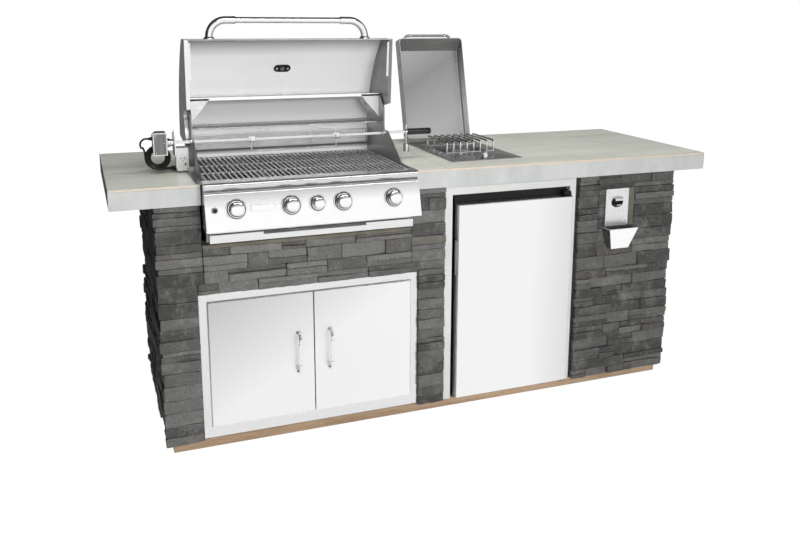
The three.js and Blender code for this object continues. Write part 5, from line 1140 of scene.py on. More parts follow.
class ISLAND_OT_stone(IslandStep):
    """Ledgestone faces, stone by stone, on their mortar beds"""

    bl_idname = "island.stone"
    bl_label = "Ledgestone"

    def build(self, scene):
        sizes = scene.island_stone
        bed, lap = 0.02, 0.018
        mortar, sill = 1, 2
        low, high = BASE_LOW, BASE_HIGH
        bottom, top = high.z + SEAT, FASCIA_LOW - SEAT
        access_low, access_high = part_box("access_frame")
        trim_low, trim_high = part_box("fridge_trim")
        cut_half = 0.392
        cut_left, cut_right = GRILL_X - cut_half, GRILL_X + cut_half
        hole_half, hole_low, hole_high = 0.088, 0.606, 0.868
        hole_left, hole_right = OPENER_X - hole_half, OPENER_X + hole_half
        header_top, bed_rise, sill_high, trim_gap = 0.765, 0.023, 0.0122, 0.011
        plate_slack, pad_depth, sill_depth, root = 0.0005, 0.0185, 0.022, 0.001
        turns = {
            "front": lambda u, w, z: (u, low.y - w, z),
            "rear": lambda u, w, z: (u, high.y + w, z),
            "left": lambda u, w, z: (low.x - w, u, z),
            "right": lambda u, w, z: (high.x + w, u, z),
        }
        even, odd, every = (0,), (1,), (0, 1)
        full = {"bottom": bottom, "top": top, "starts": (), "ends": (), "lift": -0.06}
        short = {**full, "side": "front", "splits": 0.36, "least": 0.07, "most": 0.23}
        medium = {**full, "splits": 0.36, "least": 0.23, "most": 0.48, "ends": odd}
        long = {**full, "side": "rear", "splits": 0.0, "least": 0.34, "most": 0.64}
        end_run = (low.y + SEAT, high.y - SEAT)

        # Each gives the stretches of stone in a course; a course is its low and its high edge
        def left_pillar(course):
            return [(low.x, (access_low.x if course[0] < access_high.z else cut_left) - SEAT)]

        def header(course):
            return [(access_low.x, access_high.x) if course[0] < access_high.z else (cut_left, cut_right)]

        def centre_pillar(course):
            left = access_high.x if course[0] < access_high.z else cut_right
            return [(left + SEAT, trim_low.x - SEAT)]

        def right_panel(course):
            if course[1] > hole_low and course[0] < hole_high:
                return [(trim_high.x + trim_gap, hole_left), (hole_right, high.x)]
            return [(trim_high.x + trim_gap, high.x)]

        left_bed = (low.x, access_low.x + lap, bottom, top)
        centre_bed = (access_high.x - lap, trim_low.x + lap, bottom, top)
        header_bed = (left_bed[1] + SEAT, centre_bed[0] - SEAT, access_high.z - lap, header_top + bed_rise)
        right_bed = (trim_high.x - lap, high.x, bottom, top)
        end_bed = (low.y + bed + SEAT, high.y - bed - SEAT, bottom, top)
        header_span = {"bottom": access_high.z + SEAT, "top": header_top, "lift": 0.3}
        # The right panel's darker lift is painted shade, for the light that falls off towards the right.
        fronts = {
            "left_pillar": {"seed": 113, "runs": left_pillar, "bed": left_bed, "starts": every, "most": 0.15},
            "header": {"seed": 229, "runs": header, "bed": header_bed, **header_span},
            "centre_pillar": {"seed": 331, "runs": centre_pillar, "bed": centre_bed},
            "right_panel": {"seed": 457, "runs": right_panel, "bed": right_bed, "ends": every, "lift": -0.24},
        }
        faces = {name: {**short, **face} for name, face in fronts.items()}
        rear = {"seed": 613, "runs": lambda _: [(low.x, high.x)], "bed": (low.x, high.x, bottom, top)}
        faces["rear"] = {**long, **rear, "starts": even, "ends": even}
        # The left end's darker lift is painted shade: that end faces away from the light.
        for side, seed, lift in (("left", 541, -0.34), ("right", 542, -0.2)):
            end = {"runs": lambda _: [end_run], "bed": end_bed}
            faces[side + "_end"] = {**medium, **end, "side": side, "seed": seed, "lift": lift}
        wall = StoneWall(sizes)
        front = (low.y - sill_depth, low.y + root)
        for name, face in faces.items():
            turn = turns[face["side"]]
            rough = RoughStones(sizes, face["seed"], turn, face["lift"])
            stones = wall.stones(face)
            if name == "right_panel":
                stones += self.surround(wall, hole_left, hole_right, hole_low, hole_high, plate_slack)
            for stone in stones:
                rough.add(*stone)
            bm = bmesh.new()
            rough.into(bm)
            if name == "right_panel":
                pad_x = (OPENER_X + OPENER_HALF + plate_slack, hole_right - SEAT)
                add_block(bm, pad_x, (low.y - pad_depth, front[1]), (OPENER_LOW, OPENER_TOP), finish=sill)
            if name == "header":
                add_block(bm, (cut_left, cut_right), front, (header_top, header_top + sill_high), finish=sill)
            u0, u1, z0, z1 = face["bed"]
            near, far = turn(u0, root, z0), turn(u1, -bed, z1)
            add_block(bm, *[tuple(sorted((near[k], far[k]))) for k in range(3)], finish=mortar)
            finishes = ["ledgestone", "mortar", "sill_mortar"]
            piece("ledgestone_" + name, bm, finishes, replaces="stone_" + name, sharp=60.0)

    def surround(self, wall, left, right, low, high, slack):
        """Stones that close the wall round the opener's plate, thin enough to stay behind the bucket."""
        plate_left, depth, thinnest = OPENER_X - OPENER_HALF - slack, 0.0225, 0.003
        plate_low, plate_top = OPENER_LOW - slack, OPENER_TOP + slack
        found = []
        for z0, z1 in wall.courses:
            if z1 > low and z0 < high:
                spans = [(left, right, z0, min(z1, plate_low)), (left, right, max(z0, plate_top), z1)]
                spans.append((left, plate_left, max(z0, plate_low), min(z1, plate_top)))
                found += [(*span, depth) for span in spans if span[3] - span[2] > thinnest]
        return found


# Doors, opener and bucket


class ISLAND_OT_doors(IslandStep):
    """Pulls of the access door, and the refrigerator's seal and hinge cover"""

    bl_idname = "island.doors"
    bl_label = "Door fittings"

    def build(self, scene):
        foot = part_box("access_door_left")[0].y - SEAT
        reach, radius, boss, bend = 0.034, 0.006, 0.01, 0.023
        middle, apart, low, high = -0.52, 0.061, 0.254, 0.406
        bar_y, root_y = foot - reach, foot - 0.003
        foot_disc = [(0, 0), (boss, 0), (boss * 1.02, 0.002), (boss * 0.8, 0.006), (radius, boss), (0, boss)]
        collar = [(0, 0), (0.0066, 0), (0.0072, 0.001), (0.0072, 0.009), (0.0066, 0.01), (0, 0.01)]
        for side, sign in (("left", -1), ("right", 1)):
            x = middle + sign * apart
            bm = bmesh.new()
            corners = [(x, root_y, low), (x, bar_y, low), (x, bar_y, high), (x, root_y, high)]
            add_tube(bm, bent(corners, bend, 10), radius, 20)
            for z in (low, high):
                add_turned(bm, foot_disc, 32, at(x, foot, z, 90))
            for z in (low + reach, high - reach):
                add_turned(bm, collar, 24, at(x, bar_y, z - 0.005))
            leaf, node = "access_leaf_" + side, "door_handle_" + side
            piece("door_pull_" + side, bm, "chrome", leaf, node, bevel=0.0003)
        self.make_fridge_lines()

    def make_fridge_lines(self):
        """Seam round the refrigerator door's face, and the cap over its top hinge."""
        low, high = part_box("fridge_door")
        bm = bmesh.new()
        front, thick, corner = -0.35, 0.0035, 0.004
        spans = [(low.x + inset, high.x - inset, low.z + inset, high.z - inset) for inset in (0.004, 0.012)]
        outer, inner = [rectangle(*span, corner) for span in spans]
        add_window(bm, outer, inner, "Y", front + SEAT, front + thick)
        piece("fridge_door_seal", bm, "black_rubber", "fridge_leaf", bevel=0.0004)
        bm = bmesh.new()
        cap = [(-0.018, -0.004), (0.016, -0.004), (0.016, 0.008), (0.01, 0.013)]
        cap += [(-0.012, 0.013), (-0.018, 0.008)]
        add_prism(bm, cap, "Y", -0.383, -0.349, place=at(high.x - 0.016, 0.0, high.z + 0.0085))
        piece("fridge_hinge_cap", bm, "black_shell", bevel=0.0012)


class ISLAND_OT_opener(IslandStep):
    """Bottle opener with its bent tongue, and the bucket that catches the caps"""

    bl_idname = "island.opener"
    bl_label = "Opener and bucket"

    def build(self, scene):
        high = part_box("opener_plate")[1]
        back, front, dark = high.y, high.y - 0.024, 1
        half, top, bottom = OPENER_HALF, high.z, OPENER_LOW
        mouth_z, mouth_wide, mouth_high = top - 0.058, 0.029, 0.022
        bm = bmesh.new()
        outer = rectangle(OPENER_X - half, OPENER_X + half, bottom, top, 0.004, 8)
        turns = [math.radians(-90 + 360 * (i + 0.5) / len(outer)) for i in range(len(outer))]
        mouth = [(OPENER_X + mouth_wide * math.cos(a), mouth_z + mouth_high * math.sin(a)) for a in turns]
        deep = [(OPENER_X + (u - OPENER_X) * 0.8, v) for u, v in mouth]
        spots = [(outer, back), (outer, front), (mouth, front), (mouth, front + 0.0035), (deep, back - 0.004)]
        rings = [add_ring(bm, points, "Y", y) for points, y in spots]
        bm.faces.new(rings[0])
        add_faces(bm, rings[:3])
        # The mouth's inside and its deep end take black: painted shade inside the opening.
        add_faces(bm, rings[2:], dark)
        bm.faces.new(rings[-1]).material_index = dark
        tongue = [(0.012, 0.021), (-0.008, 0.024), (-0.017, 0.019), (-0.0205, 0.01), (-0.018, 0.0095)]
        tongue += [(-0.0145, 0.016), (-0.008, 0.0195), (0.012, 0.0165)]
        catch = [(0.012, -0.014), (-0.006, -0.012), (-0.012, -0.006), (-0.0145, -0.0075), (-0.009, -0.016)]
        catch.append((0.012, -0.019))
        for outline, wide in ((tongue, 0.02), (catch, 0.009)):
            add_prism(bm, outline, "X", OPENER_X - wide, OPENER_X + wide, 0, at(0.0, front, mouth_z))
        for x in (-0.044, 0.044):
            for z in (bottom + 0.03, top - 0.014):
                add_screw(bm, at(OPENER_X + x, front, z, 90), 0.0042, 0.0024, 20)
        piece("opener_face", bm, ["opener_steel", "black_shell"], replaces="opener_plate", bevel=0.0012)
        self.make_bucket()

    def make_bucket(self):
        low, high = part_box("cap_bucket")
        wall, lip, corner, painted_dark, sideways = 0.0025, 0.0016, 0.004, 1, 0.6
        half_foot, half_top, deep_foot, deep_top = 0.044, 0.072, 0.036, 0.062
        bm = bmesh.new()

        def ring(share, grow, y_back):
            half = half_foot + (half_top - half_foot) * share - grow
            depth = deep_foot + (deep_top - deep_foot) * share - 2 * grow
            outline = rectangle(-half, half, y_back - depth, y_back, corner)
            return add_ring(bm, outline, "Z", low.z + (high.z - low.z) * share, at(OPENER_X, 0, 0))

        back = high.y
        outside = [ring(share, 0.0, back) for share in (0.0, 0.5, 1.0)]
        inside = [ring(share, wall, back - wall) for share in (1.0, 0.5, wall / (high.z - low.z))]
        rim = [v.co.copy() for v in outside[-1]]
        add_faces(bm, outside)
        add_faces(bm, [outside[-1], *inside], painted_dark)
        bm.faces.new(outside[0][::-1])
        bm.faces.new(inside[-1]).material_index = painted_dark
        # Painted shade and painted reflection: the bucket's side walls and its inside take the dark copy of
        # its steel.
        for face in bm.faces:
            face.normal_update()
            if abs(face.normal.x) > sideways:
                face.material_index = painted_dark
        add_tube(bm, [p - Vector((0, 0, lip)) for p in rim + rim[:1]], lip, 10)
        for x in (-0.03, 0.03):
            add_screw(bm, at(OPENER_X + x, back - 0.051, low.z + 0.06, 105.8), 0.003, 0.0018)
        piece("cap_bucket_tub", bm, ["bucket_steel", "bucket_shade"], replaces="cap_bucket", bevel=0.0004)


# Grill


class ISLAND_OT_housing(IslandStep):
    """Rear housing, rear burner and warming rack"""

    bl_idname = "island.housing"
    bl_label = "Rear housing"

    def build(self, scene):
        low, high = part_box("rear_housing")
        left, right = low.x, high.x
        sheet, radius, rim_y, rim_finish = 0.004, 0.15, -0.048, 3
        start = 90 + math.degrees(math.asin((HOOD_PIVOT.y - rim_y) / radius))
        curve = arc((HOOD_PIVOT.y, HOOD_PIVOT.z), radius, start, 0, 28)
        rim_z = curve[0][1]
        line = [*curve, (0.115, low.z)]
        bm = bmesh.new()
        add_prism(bm, line + offset_line(line, -sheet)[::-1], "X", left, right)
        lip = [(rim_y, rim_z - 0.012), (rim_y + 0.003, rim_z - 0.012), (rim_y + 0.004, rim_z), (rim_y, rim_z)]
        add_prism(bm, lip, "X", left, right, rim_finish)
        for sign in (-1, 1):
            self.add_corner(bm, sign, left if sign < 0 else right, rim_y, rim_z - sheet)
        finishes = ["housing_steel", "lens_glass", "chrome", "rim_steel", "gusset_steel"]
        piece("rear_housing_skin", bm, finishes, replaces="rear_housing", bevel=0.0006)
        self.make_burner()
        self.make_rack(scene.island_grill)

    def add_corner(self, bm, sign, edge, rim_y, top):
        """A triangular gusset, the slanted cheek behind it, and the light on the cheek."""
        reach, drop, sheet = 0.078, 0.088, 0.0025
        cheek_long, roof_radius, cuts = 0.148, 0.146, 12
        lens, bright, face_sheet = 1, 2, 4
        inward = -sign
        slope = math.hypot(reach, drop)
        over = Vector((inward * drop * sheet / slope, -reach * sheet / slope))
        gusset = [(edge, top), (edge, top - drop), (edge + inward * reach, top)]
        # The gusset takes the darker copy of the housing's steel, a painted shade.
        add_prism(bm, gusset, "Y", rim_y, rim_y + sheet, face_sheet)
        outer_low, outer_high = Vector((edge, top - drop)), Vector((edge + inward * reach, top))
        rings = []
        for i in range(cuts + 1):
            y = rim_y + 0.0005 + cheek_long * i / cuts
            roof = HOOD_PIVOT.z + math.sqrt(max(roof_radius**2 - (y - HOOD_PIVOT.y) ** 2, 0.0))
            cut = min(max((roof - (top - drop)) / drop, 0.02), 1.0)
            reached = outer_low.lerp(outer_high, cut)
            rings.append(add_ring(bm, [outer_low, reached, reached + over, outer_low + over], "Y", y))
        add_faces(bm, rings, capped=True)
        tilt = math.degrees(math.atan2(drop, reach))
        middle = outer_low.lerp(outer_high, 0.5) + over
        place = at(middle.x, rim_y + 0.046, middle.y, 0, inward * (180 - tilt))
        stadium = arc((0, 0.016), 0.007, 0, 180, 10) + arc((0, -0.016), 0.007, 180, 360, 10)
        add_window(bm, [(u * 1.28, v * 1.12) for u, v in stadium], stadium, "Z", 0.0, 0.0032, bright, place)
        add_prism(bm, stadium, "Z", 0.0, 0.0026, lens, place)
        for v in (-0.0285, 0.0285):
            add_screw(bm, place @ at(0, v, 0), 0.0026, 0.0016, 14, bright)

    def make_burner(self):
        """Three ceramic tiles in a steel frame, with a bright screen over each."""
        low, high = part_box("rear_burner")
        sheet, screens, wire, behind = 0.004, 26, 0.0011, 0.018
        ceramic, bright = 1, 2
        third = (high.x - low.x) / 3
        bm = bmesh.new()
        add_block(bm, (low.x, high.x), (high.y - behind, high.y), (low.z, high.z))
        z0, z1 = low.z + sheet, high.z - sheet
        for i in range(3):
            left, right = low.x + i * third, low.x + (i + 1) * third
            x0, x1 = left + sheet, right - sheet
            outer, inner = rectangle(left, right, low.z, high.z), rectangle(x0, x1, z0, z1)
            add_window(bm, outer, inner, "Y", low.y, high.y - behind)
            add_block(bm, (x0, x1), (low.y + 0.006, high.y - 0.017), (z0, z1), ceramic)
            y = low.y + 0.0035
            for k in range(screens):
                x = x0 + (x1 - x0) * (k + 0.5) / screens
                add_tube(bm, [(x, y, z0), (x, y, z1)], wire, 6, bright)
            for z in (low.z + 0.018, high.z - 0.018):
                add_tube(bm, [(x0, y, z), (x1, y, z)], wire, 6, bright)
        finishes = ["stainless", "burner_ceramic", "chrome"]
        piece("rear_burner_tiles", bm, finishes, replaces="rear_burner", bevel=0.0004)

    def make_rack(self, sizes):
        low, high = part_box("warming_rack")
        rod, rail, z, bright = sizes.rack_rod / 2, 0.002, (low.z + high.z) / 2, 1
        front, back = low.y + rail, high.y - rail
        bm = bmesh.new()
        for y in (front, back):
            add_tube(bm, [(low.x, y, z), (high.x, y, z)], rail, 14, bright)
        for y in (front + 0.042, front + 0.084):
            add_tube(bm, [(low.x + 0.01, y, z - 0.0034), (high.x - 0.01, y, z - 0.0034)], rod, 10)
        count = int((high.x - low.x) / sizes.rack_pitch)
        for i in range(1, count):
            x = low.x + (high.x - low.x) * i / count
            add_tube(bm, [(x, front, z), (x, back, z)], rod, 8)
        piece("warming_rack_rods", bm, ["rack_steel", "chrome"], replaces="warming_rack", sharp=50.0)


class ISLAND_OT_grate(IslandStep):
    """Cooking grate of round rods"""

    bl_idname = "island.grate"
    bl_label = "Cooking grate"

    def build(self, scene):
        sizes = scene.island_grill
        low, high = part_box("cooking_grate")
        rod = sizes.grate_rod / 2
        z = high.z - rod
        bm = bmesh.new()
        span = high.x - low.x - 2 * rod
        count = int(span / sizes.grate_pitch)
        for i in range(count + 1):
            x = low.x + rod + span * i / count
            add_tube(bm, [(x, low.y + 0.001, z), (x, high.y - 0.001, z)], rod, 14)
        for y in (low.y + rod, low.y + 0.17, high.y - 0.17, high.y - rod):
            add_tube(bm, [(low.x, y, z - rod), (high.x, y, z - rod)], rod * 0.9, 12)
        piece("cooking_grate_rods", bm, "grate_steel", replaces="cooking_grate", sharp=50.0)


class ISLAND_OT_panel(IslandStep):
    """Control panel with its bullnose rail, bezels, knobs and igniter"""

    bl_idname = "island.panel"
    bl_label = "Control panel"

    def build(self, scene):
        sizes = scene.island_grill
        low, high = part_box("control_panel")
        back, rail_top, rail_front = high.y, high.z, -0.456
        face_top, face_foot, foot = 0.978, -0.49, 0.848
        nose, drop, igniter_x, plate_x = 0.015, 0.06, -0.357, -0.193
        big, small, bright = 0.037, 0.031, 1
        outline = [
            (back, rail_top),
            *arc((rail_front + nose - 0.0015, rail_top - nose), nose, 90, 215, 16),
            (rail_front + 0.0095, face_top + 0.0005),
            (rail_front + 0.0095, face_top - 0.002),
            (rail_front + 0.0012, face_top - 0.0035),
            (rail_front - 0.0003, face_top - 0.006),
            (face_foot, foot + 0.002),
            (face_foot + 0.001, foot),
            (face_foot + 0.01, foot - 0.005),
            (back, foot - 0.005),
        ]
        bm = bmesh.new()
        add_prism(bm, outline, "X", low.x, high.x)
        lean = math.degrees(math.atan2(rail_front - face_foot, face_top - foot))
        face = at(GRILL_X, rail_front, face_top, 90 - lean)
        spots = [-0.285, -0.094, 0.0, 0.094, 0.285]
        for i, x in enumerate(spots):
            self.add_bezel(bm, face @ at(x, -drop, 0.0), small if i == 2 else big, sizes.round_sides)
        ring = [(0.0087, -0.002), (0.012, -0.002), (0.012, 0.001), (0.0105, 0.0036)]
        ring += [(0.0092, 0.004), (0.0087, 0.003)]
        add_turned(bm, ring, 32, face @ at(igniter_x, -drop, 0.0), bright, hollow=True)
        self.add_plate(bm, face @ at(plate_x, -drop, 0.0))
        finishes = ["panel_steel", "chrome", "grip_plastic"]
        piece("control_panel_face", bm, finishes, replaces="control_panel", bevel=0.0005, sharp=14.0)
        for i, x in enumerate(spots):
            self.make_knob(i, face @ at(x, -drop, 0.0073), sizes)
        bm = bmesh.new()
        cap = [(0, 0), (0.0078, 0), (0.0078, 0.003), (0.0066, 0.0048), (0.004, 0.0058), (0, 0.006)]
        add_turned(bm, cap, 32, face @ at(igniter_x, -drop, 0.0033))
        piece("igniter_cap", bm, "grip_plastic", "igniter", "igniter_button")

    def add_bezel(self, bm, place, r, sides):
        """A knob's dished bezel; its black well and groove are painted shadow round the knob."""
        bright, dark = 1, 2
        bezel = [(0, -0.002), (r, -0.002), (r, 0.0008), (r - 0.0012, 0.0022), (r - 0.0045, 0.0028)]
        bezel += [(r - 0.006, 0.0055), (r - 0.008, 0.007), (r - 0.0105, 0.007), (r - 0.012, 0.005)]
        add_turned(bm, bezel + [(0, 0.005)], sides, place, bright)
        well = [(0, 0.0045), (r - 0.0108, 0.0045), (r - 0.0096, 0.0067), (r - 0.0108, 0.0068)]
        add_turned(bm, well + [(r - 0.0114, 0.0056), (0, 0.0056)], sides, place, dark)
        groove = [(r - 0.0076, 0.0068), (r - 0.0044, 0.003), (r - 0.004, 0.0034), (r - 0.0072, 0.0072)]
        add_turned(bm, groove, sides, place, dark, hollow=True)

    def add_plate(self, bm, place):
        """A bare raised plate with round ends."""
        stadium = rectangle(-0.044, 0.044, -0.012, 0.012, 0.0115, 8)
        raised = [(u * 0.975, v * 0.91) for u, v in stadium]
        spots, bright = ((stadium, -0.001), (stadium, 0.0012), (raised, 0.0024)), 1
        rings = [add_ring(bm, points, "Z", height, place) for points, height in spots]
        add_faces(bm, rings, bright, capped=True)

    def make_knob(self, i, place, sizes):
        share, dark = 0.84 if i == 2 else 1.0, 1
        r = sizes.knob_radius * share
        skirt = [(0, 0), (r * 0.99, 0), (r, 0.001), (r * 0.99, 0.0045), (r * 0.9, 0.0075), (r * 0.87, 0.011)]
        grip = [(r * 0.87, 0.02), (r * 0.95, 0.0225), (r * 0.985, 0.0245), (r * 0.965, 0.0268)]
        grip.append((r * 0.9, 0.028))
        face = [(r * 0.6, 0.0292), (r * 0.25, 0.0298), (0, 0.03)]
        # The black band between the knob's skirt and its grip is a painted shadow.
        band = [(0, 0.0078), (r * 0.905, 0.0078), (r * 0.89, 0.012), (r * 0.89, 0.0185), (0, 0.0185)]
        bm = bmesh.new()
        add_turned(bm, skirt + grip + face, 72, place, 0, (12, 0.0011 * share, 5, 6))
        add_turned(bm, band, 48, place, dark)
        mark = rectangle(-0.0006, 0.0006, r * 0.45, r * 0.86, 0.0005, 3)
        add_prism(bm, mark, "Z", 0.027, 0.0292, dark, place)
        name = "knob_" + str(i + 1)
        piece(name + "_cap", bm, ["chrome", "grip_plastic"], name, "burner_" + name, sharp=40.0)


class ISLAND_OT_hood(IslandStep):
    """Hood skin with its end caps, thermometer and handle"""

    bl_idname = "island.hood"
    bl_label = "Hood"

    def build(self, scene):
        self.place = at(*HOOD_PIVOT, -HOOD_OPEN)
        half, cap, skin, crown, ear_radius = 0.394, 0.014, 0.003, 0.53, 0.032
        bend, end = Vector(HOOD_BEND), Vector(HOOD_END)
        chord = end - bend
        sink = math.sqrt(crown**2 - chord.length_squared / 4)
        centre = (bend + end) / 2 + Vector((chord.y, -chord.x)) / chord.length * sink
        start = math.degrees(math.atan2(bend.y - centre.y, bend.x - centre.x))
        stop = math.degrees(math.atan2(end.y - centre.y, end.x - centre.x))
        line = self.local([HOOD_LIP, *arc(centre, crown, start, stop, 44)])
        bm = bmesh.new()
        side = half - cap * 0.5
        add_prism(bm, line + offset_line(line, -skin)[::-1], "X", -side, side, 0, self.place)
        outside, cap_finish, outer_finish = len(line) - 1, 2, 3
        for face in list(bm.faces)[:outside]:
            face.material_index = outer_finish
        slot = arc((SPIT_Y, SPIT_Z), BUSH_RADIUS, 0, 180, 12)
        ear = arc((HOOD_PIVOT.y, HOOD_PIVOT.z), ear_radius, 350, 225, 20)
        outline = line + self.local(ear + slot + [(SPIT_Y - 0.042, HOOD_LIP[1])])
        for x0 in (-half, half - cap):
            add_prism(bm, outline, "X", x0, x0 + cap, cap_finish, self.place)
        self.add_flanges(bm, line[0], half - cap)
        finishes = ["hood_steel", "chrome", "cap_steel", "outer_steel"]
        piece("hood_skin", bm, finishes, "hood", "hood_shell", bevel=0.0009)
        angle = start + (stop - start) * 0.36
        spot = self.local(arc(centre, crown, angle, angle, 1))[0]
        self.make_thermometer(self.place @ at(0.0, *spot, angle - 90), skin)
        self.make_handle()

    def local(self, points):
        return [(p[0] - HOOD_PIVOT.y, p[1] - HOOD_PIVOT.z) for p in points]

    def add_flanges(self, bm, lip, inside):
        """Folded lips along the lower edge of each end cap, with their screws, and the pivots' washers."""
        fold, depth, bright = 0.0025, 0.007, 1
        y0, z0 = lip[0] + 0.012, lip[1]
        y1 = y0 + 0.6 * (self.local([(SPIT_Y - 0.06, 0.0)])[0][0] - y0)
        washer = [(0.0068, 0), (0.012, 0), (0.012, 0.0006), (0.0068, 0.0006)]
        for sign in (-1, 1):
            x = sorted((sign * inside, sign * (inside - depth)))
            add_block(bm, x, (y0, y1), (z0, z0 + fold), bright, self.place)
            for y in (y0 + 0.01, y1 - 0.01):
                spot = at(sign * inside, y, z0 + 0.014, 0, -sign * 90)
                add_screw(bm, self.place @ spot, 0.005, 0.0036, 18, bright)
            spot = at(sign * inside, 0, 0, 0, -sign * 90)
            add_turned(bm, washer, 28, self.place @ spot, bright, hollow=True)

    def make_thermometer(self, place, skin):
        back, dark, white = -skin - 0.0046, 1, 2
        bm = bmesh.new()
        bezel = [(0, 0.0004), (0.038, 0.0004), (0.038, 0.006), (0.036, 0.0095), (0.0335, 0.01)]
        add_turned(bm, bezel + [(0.032, 0.0085), (0, 0.0085)], 56, place)
        add_turned(bm, [(0, 0.0084), (0.0315, 0.0084), (0.0315, 0.0088), (0, 0.0088)], 56, place, white)
        for i in range(11):
            turned = place @ at(0, 0, 0, 0, 0, 225 - 27 * i)
            add_block(bm, (0.0245, 0.029), (-0.0004, 0.0004), (0.0087, 0.0091), dark, turned)
        needle = [(-0.006, -0.001), (0.021, -0.0003), (0.021, 0.0003), (-0.006, 0.001)]
        add_prism(bm, needle, "Z", 0.0089, 0.0094, dark, place @ at(0, 0, 0, 0, 0, 215))
        add_turned(bm, [(0, 0.0086), (0.003, 0.0086), (0.0025, 0.0105), (0, 0.011)], 20, place)
        add_turned(bm, [(0, -skin - 0.008), (0.009, -skin - 0.008), (0.009, 0.001), (0, 0.001)], 32, place)
        stadium = rectangle(-0.033, 0.033, -0.0165, 0.0165, 0.0164, 9)
        add_prism(bm, stadium, "Z", back, -skin - 0.0012, dark, place)
        for x in (-0.0215, 0.0215):
            add_screw(bm, place @ at(x, 0, back, 180), 0.0052, 0.0036, 20)
        finishes = ["chrome", "grip_plastic", "dial_white"]
        piece("hood_thermometer", bm, finishes, "hood", "thermometer", bevel=0.0002)

    def make_handle(self):
        lip, up = Vector(HOOD_LIP), 0.057
        rising = (Vector(HOOD_BEND) - lip).normalized()
        base = self.local([lip + rising * up + Vector((-rising.y, rising.x)) * SEAT])[0]
        place = self.place @ at(0, *base, math.degrees(math.atan2(rising.y, rising.x)))
        half, bar_half, rise, elbow, bar = 0.298, 0.208, 0.0685, 0.0136, 0.011
        foot = [(0, 0), (0.02, 0), (0.02, 0.002), (0.0185, 0.005), (elbow + 0.0008, 0.0085), (0, 0.0085)]
        collar = [(0, -0.004), (elbow * 1.01, -0.004), (elbow * 1.03, -0.002), (elbow * 1.03, 0.006)]
        collar += [(elbow * 0.9, 0.009), (0, 0.009)]
        bm = bmesh.new()
        for sign in (-1, 1):
            corners = [(sign * half, 0, 0), (sign * half, 0, rise), (sign * bar_half, 0, rise)]
            add_tube(bm, bent(corners, rise * 0.9, 18), elbow, 28, 0, place)
            add_turned(bm, foot, 40, place @ at(sign * half, 0, 0))
            add_turned(bm, collar, 32, place @ at(sign * bar_half, 0, rise, 0, -sign * 90))
        add_tube(bm, [(-bar_half - 0.004, 0, rise), (bar_half + 0.004, 0, rise)], bar, 28, 0, place)
        piece("hood_handle_bar", bm, "chrome", "hood", "hood_handle", bevel=0.0004)


# Rotisserie


